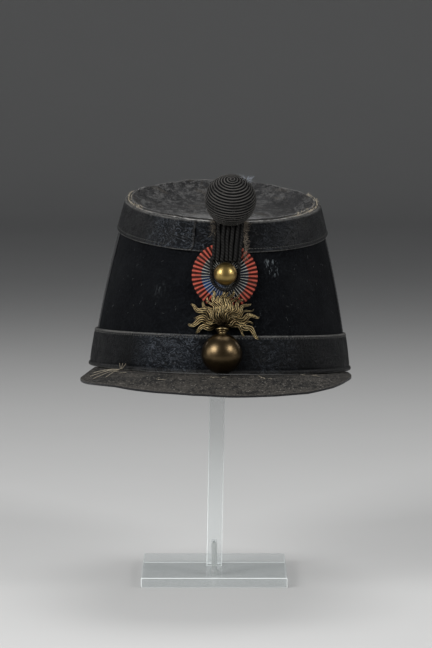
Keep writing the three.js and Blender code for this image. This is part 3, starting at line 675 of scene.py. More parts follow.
def top_leather(colours):
    """Old crazed leather, dusty, its rim rubbed to the bare hide at the sides, with painted highlights along
    the front of the rim and painted shade in the rim's groove.
    """
    sh = Shader("top_leather")
    at = sh.place()
    cloudy = sh.noise(at, 30, 6, 0.7, 0.8)
    craze = sh.cells(at, 300, "DISTANCE_TO_EDGE")
    fine = sh.noise(at, 480, 6, 0.75)
    patch = sh.noise(at, 65, 5, 0.65, 1.0)
    mottle = sh.noise(sh.place((0.8, 0.36, 1)), 300, 6, 0.8, 0.6)
    base = sh.blend(sh.rise(cloudy, 0.42, 0.58), (0.0016, 0.0016, 0.0022), (0.018, 0.018, 0.019))
    base = sh.blend(sh.rise(mottle, 0.49, 0.59, 0.95), base, (0.072, 0.071, 0.07))
    base = sh.blend(sh.rise(patch, 0.54, 0.66, 0.5), base, (0.05, 0.043, 0.034))
    base = sh.blend(sh.rise(fine, 0.55, 0.66, 0.5), base, (0.09, 0.088, 0.084))
    base = sh.blend(sh.spot(at, (0.046, 0.037, 0.253), 0.02) * 0.85, base, (0.003, 0.003, 0.004))
    around, out = sh.laid(0), sh.laid(1)
    ahead = sh.rise(abs(around - 0.5), 0.3, 0.42)
    streaks = sh.ramp(sh.noise(sh.place((0.4, 1, 1)), 150, 5, 0.7), (0.42, 0.25), (0.56, 1.0))
    # A painted highlight: a pale arc in the front of the dish
    painted_highlight_arc = sh.fall(abs(out - 0.09) + 0.05 * (fine - 0.5), 0.015, 0.07, 0.7) * ahead
    base = sh.blend(painted_highlight_arc * streaks, base, (0.26, 0.26, 0.257))
    across = sh.node("ShaderNodeSeparateXYZ", inputs={0: at})
    ends = sh.ramp(abs(across), (0.045, 0.08), (0.058, 1.0))
    # Two painted highlights along the rim, strongest in front, with painted shade in the groove between them
    for middle, wide, amount in ((0.445, 0.034, 1.0), (0.585, 0.02, 0.8)):
        line = sh.fall(abs(out - middle) + 0.03 * (fine - 0.5), wide / 3, wide)
        base = sh.blend(line * streaks * (0.15 + 0.85 * ahead) * amount, base, (0.62, 0.61, 0.59))
    # Painted shade along the groove between the two painted highlights
    base = sh.blend(sh.fall(abs(out - 0.53), 0.012, 0.03, 0.9), base, (0.002, 0.002, 0.002))
    # Bare hide at the two sides of the rim
    ragged = abs(out - 0.57) + 0.12 * (sh.noise(at, 420, 4, 0.8) - 0.5)
    rubbed = sh.rise(sh.noise(at, 230, 5, 0.8), 0.46, 0.54)
    base = sh.blend(sh.fall(ragged, 0.016, 0.04) * rubbed * ends, base, colours.tan)
    base = sh.blend(sh.lines(at, 90, 0.012, 30) * 0.8, base, (0.14, 0.138, 0.132))
    height = sh.rise(craze, 0.0, 0.1) * 0.3 + fine * 1.2 + cloudy * 2.6
    shine = 0.5 + 0.3 * sh.rise(patch, 0.4, 0.7)
    return sh.finish(
        Base_Color=base, Roughness=shine, Normal=sh.relief(height, 0.0014), Specular_IOR_Level=0.25
    )


def peak_leather():
    """Blackened leather gone brown and dusty, with a smooth dark cut edge."""
    sh = Shader("peak_leather")
    at = sh.place()
    fine = sh.noise(sh.place((1, 0.5, 1)), 430, 6, 0.8)
    cloudy = sh.noise(at, 45, 6, 0.7)
    speck = sh.fall(sh.cells(at, 520), 0.16, 0.34)
    sparse = sh.rise(sh.noise(at, 260, 4, 0.75), 0.47, 0.58)
    out = sh.laid(1)
    dusty = sh.rise(cloudy + 1.7 * (fine - 0.5), 0.4, 0.6)
    base = sh.blend(dusty, (0.0028, 0.0025, 0.0022), (0.037, 0.033, 0.028))
    base = sh.blend(speck * sparse, base, (0.2, 0.187, 0.163))
    # A paler strip along the front edge: partly rubbed wear and partly a painted highlight on the edge
    front = sh.rise(out + 0.02 * (fine - 0.5), 0.37, 0.432, 0.6)
    base = sh.blend(front, base, (0.055, 0.05, 0.044))
    cut = sh.rise(out, 0.438, 0.452)
    base = sh.blend(cut, base, (0.006, 0.006, 0.007))
    height = fine * 1.6 + cloudy * 1.2 + sh.cells(at, 420) * 0.5
    shine = 0.8 + 0.15 * (fine - 0.5) - 0.45 * cut
    return sh.finish(
        Base_Color=base, Roughness=shine, Normal=sh.relief(height, 0.0011), Specular_IOR_Level=0.24
    )


def pleated_leather(colours):
    """Painted pleats: red outside with painted shade in its folds and painted highlights on its ridges, pale
    and dark lines inside, blue low on the left.
    """
    sh = Shader("pleated_leather")
    at = sh.place()
    rough = sh.noise(at, 520, 4, 0.7)
    fold = sh.fold()
    # The red is painted dark in the folds' hollows as shade and paler on their ridges as a highlight
    shaded_red = tuple(0.07 * part for part in colours.red)
    highlit_red = tuple(mix(red, white, 0.1) for red, white in zip(colours.red, colours.white))
    red = sh.blend(sh.rise(fold + 0.3 * (rough - 0.5), 0.42, 0.9), shaded_red, highlit_red)
    patch = sh.rise(sh.noise(at, 90, 3, 0.6), 0.45, 0.6)
    kept = sh.spot(at, (-0.0015, -0.0945, 0.203), 0.0125) + 0.1 * patch
    hollow = sh.blend(kept, (0.005, 0.008, 0.011), colours.blue)
    line = sh.rise(fold + 0.4 * (rough - 0.5), 0.7, 1.0, 0.8)
    inner = sh.blend(line, hollow, colours.white)
    outside = sh.rise(sh.laid(1) / COCKADE_FRONT + 0.03 * (rough - 0.5), 0.7, 0.73)
    base = sh.blend(outside, inner, red)
    dirt = sh.rise(sh.noise(at, 190, 5, 0.75), 0.46, 0.74, 0.8)
    base = sh.blend(dirt, base, (0.035, 0.026, 0.02))
    return sh.finish(
        Base_Color=base, Roughness=0.78, Normal=sh.relief(rough, 0.0003), Specular_IOR_Level=0.12
    )


def bright_brass(colours):
    """Polished brass, lightly aged."""
    sh = Shader("bright_brass")
    cloudy = sh.noise(sh.place(), 160, 5, 0.65)
    base = sh.blend(sh.rise(cloudy, 0.45, 0.78, 0.65), colours.brass, (0.2, 0.14, 0.055))
    return sh.finish(
        Base_Color=base, Metallic=1.0, Roughness=0.28 + 0.16 * cloudy, Normal=sh.relief(cloudy, 0.00003)
    )


def old_brass(colours):
    """Cast brass, dark in the hollows and bright on the ridges."""
    sh = Shader("old_brass")
    at = sh.place()
    cloudy = sh.noise(at, 130, 5, 0.65)
    rough = sh.noise(at, 900, 3, 0.6)
    height = sh.fold() + 0.2 * (cloudy - 0.5)
    base = sh.ramp(
        height,
        (0.36, tuple(colours.brass_dark)),
        (0.6, tuple(colours.brass_brown)),
        (0.95, tuple(colours.badge)),
    )
    return sh.finish(
        Base_Color=base,
        Metallic=1.0,
        Roughness=0.26 + 0.09 * sh.rise(height, 0.4, 0.92) + 0.06 * rough,
        Normal=sh.relief(rough * 0.3 + cloudy, 0.00006),
    )


def worsted(colours, name, lift, groove):
    """Faded black cord: pale fibres on the turns, partly faded and partly a painted highlight, with black
    painted shade in the grooves between them.
    """
    sh = Shader(name)
    at = sh.place()
    fibre = sh.noise(at, 1600, 4, 0.7)
    faded = sh.noise(at, 90, 4, 0.6)
    pale = tuple(min(1.0, part * lift) for part in colours.cord)
    # Paler on the crest of each turn, partly faded fibre and partly a painted highlight, and painted black
    # shade in the grooves
    crest = sh.rise(sh.fold() + 0.3 * (fibre - 0.5), groove, 0.98)
    base = sh.blend(crest, (0.002, 0.002, 0.002), pale)
    base = sh.blend(sh.rise(faded, 0.46, 0.72, 0.8), base, (0.006, 0.006, 0.006))
    return sh.finish(
        Base_Color=base, Roughness=0.9, Normal=sh.relief(fibre, 0.0004), Specular_IOR_Level=0.12
    )


def plain(name, tint, roughness, metallic=0.0, mottle=0.25, scale=400):
    """A plain finish with a little unevenness."""
    sh = Shader(name)
    uneven = sh.noise(sh.place(), scale, 4, 0.6)
    dark = tuple(part * (1 - mottle) for part in tint)
    return sh.finish(
        Base_Color=sh.blend(uneven, dark, tint),
        Roughness=roughness,
        Metallic=metallic,
        Normal=sh.relief(uneven, 0.00005),
    )


def clear_acrylic(name, tint, low, high):
    """Clear acrylic, seen through more where it is looked at squarely."""
    sh = Shader(name)
    facing = sh.node("ShaderNodeLayerWeight", inputs={"Blend": 0.5}, output="Facing")
    cloud = sh.noise(sh.place(), 60, 2, 0.5)
    return sh.finish(
        Base_Color=sh.blend(cloud, tint, tuple(0.94 * part for part in tint)),
        Roughness=0.04,
        Alpha=low + (high - low) * facing**3,
        IOR=1.49,
    )


def worn_edges(rows, share):
    """How worn a band is: most along its two edges, a little on the crest of its bead."""
    front = 1 - BAND_INNER
    if share > front:
        return 0.0
    at = along([Vector((row["up"], row["proud"])) for row in rows], share / front)
    edge = smooth((at.x - 0.93) / 0.05) + smooth((0.05 - at.x) / 0.04)
    return clamp(max(0.8 * edge, 0.12 * smooth((at.y - 1.12) / 0.2)))


def band_strip(bm, crown, rows, tall, edge, lap_at, corner, ripple):
    """A strip of leather round the crown whose far end laps over its near end."""
    s = crown.s
    girth = s.rim_half_width
    lap = s.lap / girth
    climb = 1.2 * lap
    start = lap_at - lap
    end = lap_at + math.tau
    over = start + math.tau
    face = [Vector((row["up"], row["proud"])) for row in rows]
    front = 1 - BAND_INNER

    def to_end(around):
        return (end - around) * girth

    def place(u, v):
        around = mix(start, end, u)
        climbed = smooth((around - over + climb) / (0.9 * climb))
        out = s.gap + climbed * (s.band_thick + s.gap)
        rounded = corner - min(to_end(around), corner)
        raised = corner - math.sqrt(max(0.0, corner * corner - rounded**2))
        if v < front:
            at = along(face, v / front)
        else:
            at = Vector((mix(face[-1].x, face[0].x, (v - front) / BAND_INNER), 0))
        wave = 0.00012 * noise.noise(Vector((around * 6, at.x * 3, ripple)))
        pared = 0.45 + 0.55 * smooth(to_end(around) / PARED)
        up = edge(around) + raised + clamp(at.x) * (tall - raised)
        proud = max(0.0, at.y) * s.band_thick * pared + clamp(at.y * 4) * wave
        return crown.point(around, up, out + proud)

    def worn(u, v):
        rubbed = 0.5 * smooth(2 - to_end(mix(start, end, u)) / RUBBED_END) if v < front else 0
        return max(worn_edges(rows, v), rubbed)

    verts = grid(bm, place, columns=420, rows=64)
    mark(bm, verts, worn)
    close(bm)


def stitch_row(bm, place_of, count):
    """A row of small stitches, each a flattened bead turned along the row."""
    long, thick = 0.0015, 0.0005
    size = Matrix.Diagonal((long / 2, thick / 2, thick / 2, 1))
    for i in range(count):
        at = place_of(i / count)
        ahead = place_of((i + 0.2) / count) - at
        turn = ahead.to_track_quat("X", "Z").to_matrix().to_4x4()
        bmesh.ops.create_uvsphere(
            bm, u_segments=6, v_segments=4, radius=1, matrix=Matrix.Translation(at) @ turn @ size
        )


def tube(bm, path, radius, around=10, steps=40, plies=0, lay=1.0):
    """A cord along a smooth path. With plies it is twisted, and its grooves are noted."""
    total = sum((b - a).length for a, b in zip(path, path[1:]))

    def ply(u, v):
        if not plies:
            return 1.0
        return abs(math.cos(plies / 2 * (math.tau * u - math.tau * v * total / lay)))

    def frame_at(share):
        at = along(path, share)
        ahead = (along(path, share + 0.004) - along(path, share - 0.004)).normalized()
        side = ahead.cross(Vector((0, -1, 0.2)))
        if side.length < 1e-6:
            side = ahead.cross(Vector((1, 0, 0)))
        side.normalize()
        return at, side, side.cross(ahead)

    frames = {}

    def place(u, v):
        key = round(v * steps)
        if key not in frames:
            frames[key] = frame_at(key / steps)
        at, side, up = frames[key]
        turn = math.tau * u
        size = radius * (0.76 + 0.24 * ply(u, v))
        return at + size * (math.cos(turn) * side + math.sin(turn) * up)

    verts = grid(bm, place, columns=around, rows=steps)
    mark(bm, verts, ply)
    bmesh.ops.remove_doubles(bm, verts=verts, dist=MERGE)


class ShakoOperator(bpy.types.Operator):
    """Shared parts of the operators that make the hat's pieces."""

    bl_options = {"REGISTER", "UNDO"}

    def setup(self, context):
        """Reads the sizes and works out the places that several pieces share."""
        self.sizes = context.scene.shako_sizes
        self.trim = context.scene.shako_trim
        self.colours = context.scene.shako_colours
        self.crown = Crown(self.sizes)
        self.hat = hat_place(self.sizes)
        s, t = self.sizes, self.trim
        self.cockade_back = 3 * s.gap + s.band_thick
        self.trim_back = self.cockade_back + t.cockade_thick + t.pleat_depth + s.gap
        self.front_edge = self.crown.point(0, self.crown.top_height(0), 0)
        ahead = self.front_edge.y - s.band_thick - t.ball_ahead
        self.ball_at = Vector((t.ball_x, ahead, self.front_edge.z + t.ball_up))


class SHAKO_OT_crown(ShakoOperator):
    """Make the cloth crown and the piping in its side seams"""

    bl_idname = "shako.crown"
    bl_label = "Crown"

    def execute(self, context):
        self.setup(context)
        s, crown = self.sizes, self.crown
        seat = s.top_thick + s.gap
        # The wall's outline: up outside, over its edge, down inside and under its rim
        outline = (
            {"share": 0.0, "out": 0, "up": 0},
            {"share": 0.46, "out": 0, "up": 1},
            {"share": 0.5, "out": -s.wall, "up": 1},
            {"share": 0.96, "out": -s.wall, "up": 0},
            {"share": 1.0, "out": 0, "up": 0},
        )

        def place(u, v):
            around = math.tau * u
            out = look_up(outline, "share", "out", v)
            up = look_up(outline, "share", "up", v) * (crown.top_height(around, out) - seat)
            wave = noise.noise(Vector((math.sin(around) * 2.2, math.cos(around) * 2.2, up * 22)))
            return crown.point(around, up, out + 0.00022 * wave)

        bm = bmesh.new()
        grid(bm, place, columns=360, rows=100)
        close(bm)
        keep(bm, "crown_cloth", wool(self.colours), self.hat, ["crown_shell"])
        self.make_piping()
        return {"FINISHED"}

    def make_piping(self):
        """Twisted piping down both side seams, from band to band."""
        s, crown = self.sizes, self.crown
        material = plain("black_piping", (0.022, 0.023, 0.025), roughness=0.8, scale=900, mottle=0.7)
        for name, node, around in (
            ("left_seam", "side_piping_left", -(math.pi / 2 - s.seam_left)),
            ("right_seam", "side_piping_right", math.pi / 2 - s.seam_right),
        ):
            low = s.bottom_band + s.gap
            high = crown.top_height(around) - s.top_band - s.gap
            path = [crown.point(around, mix(low, high, i / 8), 0.4 * s.piping_height) for i in range(9)]
            bm = blank()
            tube(bm, path, s.piping / 2, around=12, steps=300, plies=2, lay=0.005)
            keep(bm, name, material, self.hat, [node])


class SHAKO_OT_top(ShakoOperator):
    """Make the sunken leather top with its worn rim"""

    bl_idname = "shako.top"
    bl_label = "Top"

    def execute(self, context):
        self.setup(context)
        s, crown = self.sizes, self.crown
        seat = s.wall + s.gap
        thick, sink, bead = s.top_thick, s.top_sink, s.top_bead
        middle = s.top_half_width
        floor = middle * 0.38
        # Inset and height: the upper face from the middle out, over the rim's bead and back below
        outline = (
            (middle, -sink),
            (mix(middle, floor, 0.5), -sink),
            (floor, -0.98 * sink),
            (seat + 6 * thick, -0.84 * sink),
            (seat + 3.8 * thick, -0.6 * sink),
            (seat + 2.3 * thick, -0.36 * sink),
            (seat + 1.2 * thick, -0.15 * sink),
            (seat + 0.5 * thick, 0.35 * bead),
            (seat, 0.9 * bead),
            (0.7 * s.wall, bead),
            (0.3 * s.wall, 0.8 * bead),
            (0.04 * s.wall, 0.3 * bead),
            (0, -0.3 * thick),
            (0, -0.9 * thick),
            (0.5 * s.wall, -thick),
            (seat, -thick),
            (seat + 1.6 * thick, -0.25 * sink - thick),
            (seat + 3.2 * thick, -0.5 * sink - thick),
            (floor, -sink - thick),
            (middle, -sink - thick),
        )
        path = [Vector(at) for at in outline]
        upper_face = 0.7

        def place(u, v):
            around = math.tau * u
            at = along(path, v)
            point = crown.top(around, at.x, at.y)
            if at.x > floor:
                # The rings shrink to one point in the middle
                y = -(s.top_half_length - floor) * (middle - at.x) / (middle - floor) * math.cos(around)
                point = Vector((point.x, s.top_setback + y, s.crown_height + crown.slope * y + at.y))
            if v < upper_face:
                dent = noise.noise(point * 26) * 0.0011 * smooth((at.x - seat) / floor)
                rim = 1 - smooth((at.x - seat) / seat)
                ragged = noise.noise(point * 260) * 0.00025 + noise.noise(point * 62) * 0.0005
                behind = 1 + 1.2 * smooth(-math.cos(around))
                point.z += min(dent, 0.0009) + ragged * behind * rim * smooth(5 * v)
            return point

        bm = bmesh.new()
        grid(bm, place, columns=320, rows=100)
        close(bm)
        keep(bm, "sunken_top", top_leather(self.colours), self.hat, ["crown_top"])
        return {"FINISHED"}


class SHAKO_OT_bands(ShakoOperator):
    """Make the two leather bands and their stitching"""

    bl_idname = "shako.bands"
    bl_label = "Bands"

    def execute(self, context):
        self.setup(context)
        s, crown = self.sizes, self.crown
        leather = band_leather(self.colours)
        front_lap = math.asin(s.top_lap_at / s.top_half_width)

        def rim(around):
            return 0.0

        def upper_edge(around):
            return crown.top_height(around) - s.top_band

        lower = (BOTTOM_BAND_ROWS, s.bottom_band, rim, math.pi, 0.2 * s.lap_corner, 1.5)
        upper = (TOP_BAND_ROWS, s.top_band, upper_edge, front_lap, s.lap_corner, 8.5)
        for name, node, strip in (("lower_band", "bottom_band", lower), ("upper_band", "top_band", upper)):
            bm = blank()
            band_strip(bm, crown, *strip)
            keep(bm, name, leather, self.hat, [node])

        out = s.gap + 0.9 * s.band_thick
        # The upper row ends short of the lap
        round_to_lap = 0.93 * math.tau

        def low_stitch(share):
            return crown.point(math.tau * share, 0.92 * s.bottom_band, out)

        def high_stitch(share):
            around = round_to_lap * share
            return crown.point(around, upper_edge(around) + 0.125 * s.top_band, out)

        bm = bmesh.new()
        stitch_row(bm, low_stitch, count=250)
        stitch_row(bm, high_stitch, count=200)
        thread = plain("band_thread", (0.075, 0.075, 0.07), roughness=0.85, scale=2500)
        keep(bm, "band_stitches", thread, self.hat)
        return {"FINISHED"}


class SHAKO_OT_peak(ShakoOperator):
    """Make the leather peak"""

    bl_idname = "shako.peak"
    bl_label = "Peak"

    def execute(self, context):
        self.setup(context)
        s, crown = self.sizes, self.crown
        # Outline of a cut: across, 0 lies under the cloth, 1 at the fold and 2 at the edge; then
        # the height as a share of the thickness
        across = (0, 0.5, 1, 1.2, 1.4, 1.6, 1.8, 1.94)
        edge = ((1.985, -0.06), (2, -0.3), (2, -0.7), (1.985, -0.94))
        outline = [(share, 0) for share in across]
        outline += [*edge, *((share, -1) for share in reversed(across)), (0, 0)]
        path = [Vector(at) for at in outline]

        def place(u, v):
            share = mix(-1, 1, u)
            at = along(path, v)
            point = crown.peak(share, max(0.0, at.x - 1))
            if at.x < 1:
                root = crown.point(share * s.peak_span, 0, -s.wall)
                root.z = point.z
                point = root.lerp(point, max(0.0, at.x))
            point.z += at.y * s.peak_thick
            return point

        bm = bmesh.new()
        grid(bm, place, columns=260, rows=96)
        bmesh.ops.remove_doubles(bm, verts=bm.verts, dist=MERGE)
        fill(bm)
        keep(bm, "leather_peak", peak_leather(), self.hat, ["peak"])
        return {"FINISHED"}


class SHAKO_OT_cockade(ShakoOperator):
    """Make the pleated cockade"""

    bl_idname = "shako.cockade"
    bl_label = "Cockade"

    def execute(self, context):
        self.setup(context)
        t, crown = self.trim, self.crown
        back = 0.08

        def ridge(u):
            return (0.5 + 0.5 * math.cos(math.tau * t.pleats * u)) ** 0.8

        def place(u, v):
            past = v - COCKADE_FRONT
            if past < 0:
                radius = v / COCKADE_FRONT
                depth = smooth((radius - 0.12) / 0.3)
                out = t.cockade_thick + t.pleat_depth * depth * (ridge(u) - 0.35)
                out += 0.0004 * math.sin(math.pi * clamp((radius - 0.4) / 0.6)) * depth
            else:
                radius = 1 - clamp((past - back) / (1 - back - COCKADE_FRONT))
                out = t.cockade_thick * (1 - clamp(past / back)) * 0.8
            trim = 1 + 0.012 * (ridge(u) - 0.5) * smooth((radius - 0.8) * 5)
            size = radius * t.cockade_radius * trim
            turn = math.tau * u
            x = t.cockade_x + size * math.sin(turn)
            return crown.face(x, t.cockade_up + size * math.cos(turn), self.cockade_back + out)

        bm = blank()
        verts = grid(bm, place, columns=t.pleats * 12, rows=50)
        mark(bm, verts, lambda u, v: ridge(u))
        close(bm)
        keep(bm, "pleated_cockade", pleated_leather(self.colours), self.hat, ["cockade"])
        return {"FINISHED"}


class SHAKO_OT_button(ShakoOperator):
    """Make the round brass button"""

    bl_idname = "shako.button"
    bl_label = "Button"

    def execute(self, context):
        self.setup(context)
        t = self.trim
        # Shares of the radius and of the depth, from the back out and round to the front
        rows = ((0, 0), (0.3, 0), (0.58, 0), (0.82, 0.08), (0.95, 0.22), (1, 0.42), (0.93, 0.65))
        rows += ((0.75, 0.83), (0.5, 0.945), (0.25, 0.99), (0, 1))
        points = [Vector((out * t.button_radius, up * t.button_depth)) for out, up in rows]
        steps = 60
        profile = [along(points, i / steps) for i in range(steps + 1)]
        profile = [(max(0.0, point.x), max(0.0, point.y)) for point in profile]
        bm = bmesh.new()
        turned(bm, profile, steps=72)
        back = self.cockade_back + t.cockade_thick + 0.2 * t.pleat_depth + self.sizes.gap
        place = self.hat @ on_face(self.crown, t.cockade_x, t.cockade_up, back)
        keep(bm, "brass_button", bright_brass(self.colours), place, ["button"])
        return {"FINISHED"}


class SHAKO_OT_cords(ShakoOperator):
    """Make the bundle of cords and the loop round the button"""

    bl_idname = "shako.cords"
    bl_label = "Cords"

    def execute(self, context):
        self.setup(context)
        s, t, crown = self.sizes, self.trim, self.crown
        loop_radius = t.button_radius + s.gap + t.cord_radius
        out = self.trim_back + t.cord_radius
        low = t.cockade_up + loop_radius + t.cord_radius
        high = self.ball_at.z
        high_end = high - 0.8 * t.ball_radius
        twist = {"around": 20, "plies": 2, "lay": 0.0042}

        def middle(up):
            return mix(t.cockade_x, t.ball_x, (up - t.cockade_up) / (high - t.cockade_up))

        def half(up):
            return mix(t.stem_half_low, t.stem_half_top, (up - low) / (high - low)) - t.cord_radius

        def front(up):
            return out + max(0.0, up - crown.top_height(0)) * 0.25

        bm = blank()
        random.seed(11)
        last = 6
        for i in range(last + 1):
            side = mix(-1, 1, i / last)
            outer = i in (0, last)
            raised = 0 if outer else t.stem_backing * (1 if i % 2 == 0 else 0.7)
            foot = low - (0 if outer else 0.6 * t.cord_radius)
            path = []
            for k in range(6):
                up = mix(foot, high_end, k / 5)
                sway = 0.3 * t.cord_radius * random.uniform(-1, 1)
                path.append(crown.face(middle(up) + side * half(up) + sway, up, front(up) + raised))
            tube(bm, path, t.cord_radius, steps=60, **twist)
        leg = mix(low, t.cockade_up, 0.4)
        loop = [Vector((-loop_radius, low + t.cord_radius)), Vector((-loop_radius, leg))]
        for i in range(9):
            turn = mix(-math.pi / 2, math.pi / 2, i / 8)
            loop.append(Vector((loop_radius * math.sin(turn), t.cockade_up - loop_radius * math.cos(turn))))
        loop += [Vector((loop_radius, leg)), Vector((loop_radius, low + t.cord_radius))]
        path = [crown.face(t.cockade_x + at.x, at.y, out) for at in loop]
        tube(bm, path, t.cord_radius, steps=120, **twist)

        def backing(u, v):
            up = mix(low, high_end, v)
            turn = math.tau * u
            wide = (half(up) + 0.3 * t.cord_radius) * math.sin(turn)
            deep = 0.5 * t.stem_backing * (1 - math.cos(turn))
            lumps = 0.0006 * noise.noise(Vector((wide * 400, up * 300, deep * 400)))
            return crown.face(middle(up) + wide, up, front(up) - t.cord_radius + deep + lumps)

        grid(bm, backing, columns=48, rows=60)
        close(bm)
        material = worsted(self.colours, "old_worsted", lift=0.42, groove=0.5)
        keep(bm, "twisted_cords", material, self.hat, ["cord_bundle"])
        return {"FINISHED"}


class SHAKO_OT_ball(ShakoOperator):
    """Make the ball wound of one cord"""

    bl_idname = "shako.ball"
    bl_label = "Wound ball"

    def execute(self, context):
        self.setup(context)
        t = self.trim

        def ridge(u, v):
            turn = math.tau * u
            uneven = 0.5 * noise.noise(Vector((math.cos(turn) * 1.5, math.sin(turn) * 1.5, v * 14)))
            phase = math.tau * t.ball_turns * v - turn + uneven * min(1, 20 * min(v, 1 - v))
            return abs(math.cos(phase / 2)) ** 0.75

        def place(u, v):
            polar = math.pi * v
            turn = math.tau * u
            calm = smooth(min(v, 1 - v) * t.ball_turns)
            ply = 0.00008 * math.sin(turn * 60 * max(0.15, math.sin(polar)) + v * 400)
            radius = t.ball_radius - t.groove * (1 - ridge(u, v)) * calm + ply * calm
            ring = radius * math.sin(polar)
            return Vector((ring * math.cos(turn), ring * math.sin(turn), radius * math.cos(polar)))

        bm = blank()
        verts = grid(bm, place, columns=180, rows=t.ball_turns * 12)
        mark(bm, verts, ridge)
        close(bm)
        at = self.hat @ Matrix.Translation(self.ball_at) @ Matrix.Rotation(t.ball_lean, 4, "X")
        material = worsted(self.colours, "wound_worsted", lift=1.25, groove=0.74)
        keep(bm, "ball_of_cord", material, at, ["wound_ball"])
        return {"FINISHED"}


class SHAKO_OT_grenade(ShakoOperator):
    """Make the brass grenade with its flames"""

    bl_idname = "shako.grenade"
    bl_label = "Grenade badge"

    def setup(self, context):
        """Adds where the flames spring from and where the badge's back lies."""
        super().setup(context)
        t = self.trim
        self.root_up = t.grenade_up + t.grenade_radius + t.neck_height
        self.back = 2 * self.sizes.gap + 1.4 * self.sizes.band_thick

    def behind(self, up):
        """How far outside the cloth the flames' back lies, clear of the band and the cockade."""
        t, gap = self.trim, self.sizes.gap
        foot = t.cockade_up - t.cockade_radius
        start = mix(self.root_up, foot, 0.3) - 2 * gap
        return mix(self.back, self.trim_back, clamp((up - start) / (foot - 3 * gap - start)))

    def flame(self, bm, row, phase):
        """One wavy ridged tongue, round in front and flat behind."""
        t, crown = self.trim, self.crown
        tip = Vector((row["across"] * t.flame_reach, row["up"] * t.flame_height))
        long = tip.length
        ahead = tip / long
        side_way = Vector((-ahead.y, ahead.x))
        arch = math.copysign(row["arch"] * long, row["across"])
        ridges = row["ridges"]

        def line(v):
            wave = t.flame_wave * math.sin(math.tau * v * long / t.flame_period + phase) * smooth(v / 0.4)
            return tip * v + side_way * (wave + arch * math.sin(math.pi * v**0.75))

        def crest(u):
            if u > FLAME_FRONT:
                return 0.0
            side = mix(-1, 1, u / FLAME_FRONT)
            return abs(math.cos(math.pi * ridges * side / 2)) if ridges % 2 else abs(math.sin(math.pi * side))

        def place(u, v):
            along_it = (line(min(1, v + 0.02)) - line(max(0, v - 0.02))).normalized()
            across = Vector((-along_it.y, along_it.x))
            swell = 0.34 + 0.66 * smooth(v / 0.5)
            taper = 1 - 0.72 * clamp((v - 0.5) / 0.5) ** 1.6
            end = math.sqrt(clamp((1 - v) / 0.05))
            half = 0.33 * t.flame_width * row["wide"] * swell * taper * end
            if u < FLAME_FRONT:
                side = mix(-1, 1, u / FLAME_FRONT)
                dome = math.sqrt(max(0.0, 1 - side * side))
                deep = dome * (0.4 + 0.6 * crest(u))
            else:
                side = mix(1, -1, (u - FLAME_FRONT) / (1 - FLAME_FRONT))
                deep = 0.0
            flat = line(v) + across * half * side
            up = self.root_up + flat.y
            rise = 0.3 * math.sin(math.tau * v * 1.6 + phase) + row["front"] * (1 - 0.6 * v)
            thick = t.flame_thick * deep * end * (0.95 - 0.3 * v + max(0.0, rise))
            return crown.face(t.grenade_x + flat.x, up, self.behind(up) + thick)

        verts = grid(bm, place, columns=42, rows=60)
        mark(bm, verts, lambda u, v: crest(u) ** 2.2 * (0.25 + 0.75 * smooth(v / 0.65)))
        bmesh.ops.remove_doubles(bm, verts=verts, dist=MERGE)

    def execute(self, context):
        self.setup(context)
        bm = blank()
        for i, row in enumerate(FLAMES):
            self.flame(bm, row, 2.2 + 0.7 * math.sin(i * 1.9))
        self.join(bm, self.ball(), BALL_WEAR)
        self.join(bm, self.neck(), NECK_WEAR)
        keep(bm, "brass_grenade", old_brass(self.colours), self.hat, ["grenade_badge"])
        return {"FINISHED"}

    def ball(self):
        """The front half of the grenade's ball, flat behind."""
        t = self.trim
        rows = 40
        profile = [(0, 0)]
        for i in range(rows):
            turn = i / rows * math.pi / 2
            profile.append((t.grenade_radius * math.cos(turn), t.grenade_depth * math.sin(turn)))
        profile.append((0, t.grenade_depth))
        ball = blank()
        turned(ball, profile, steps=96)
        at = on_face(self.crown, t.grenade_x, t.grenade_up, self.back)
        bmesh.ops.transform(ball, matrix=at, verts=ball.verts)
        return ball

    def neck(self):
        """The ringed neck, cut flat where it meets the band."""
        t, crown = self.trim, self.crown
        # Shares of the neck's radius and height
        rows = ((0, -0.6), (0.75, -0.6), (0.62, -0.1), (0.6, 0.1), (0.78, 0.22), (0.82, 0.32), (0.66, 0.42))
        rows += ((0.7, 0.5), (0.96, 0.6), (1, 0.75), (0.92, 0.9), (0.6, 1.05), (0.3, 1.2), (0, 1.3))
        points = [Vector((out * t.neck_radius, up * t.neck_height)) for out, up in rows]
        steps = 60
        profile = [along(points, i / steps) for i in range(steps + 1)]
        neck = blank()
        turned(neck, [(max(0.0, point.x), point.y) for point in profile], steps=48)
        lean = Matrix.Rotation(-crown.lean(self.root_up), 4, "X")
        foot = self.root_up - t.neck_height
        at = crown.face(t.grenade_x, foot, self.back + 0.8 * t.flame_thick)
        bmesh.ops.transform(neck, matrix=Matrix.Translation(at) @ lean, verts=neck.verts)
        cut = bmesh.ops.bisect_plane(
            neck,
            geom=neck.verts[:] + neck.edges[:] + neck.faces[:],
            plane_co=crown.face(t.grenade_x, foot, self.back),
            plane_no=lean.to_3x3() @ Vector((0, 1, 0)),
            clear_outer=True,
        )
        edges = [piece for piece in cut["geom_cut"] if isinstance(piece, bmesh.types.BMEdge)]
        bmesh.ops.edgenet_fill(neck, edges=edges)
        return neck

    @staticmethod
    def join(bm, other, wear):
        """Adds another shape's faces to this one, all worn alike."""
        fold = other.verts.layers.float.get("fold")
        for vert in other.verts:
            vert[fold] = wear
        mesh = bpy.data.meshes.new("joined")
        other.to_mesh(mesh)
        other.free()
        bm.from_mesh(mesh)
        bpy.data.meshes.remove(mesh)


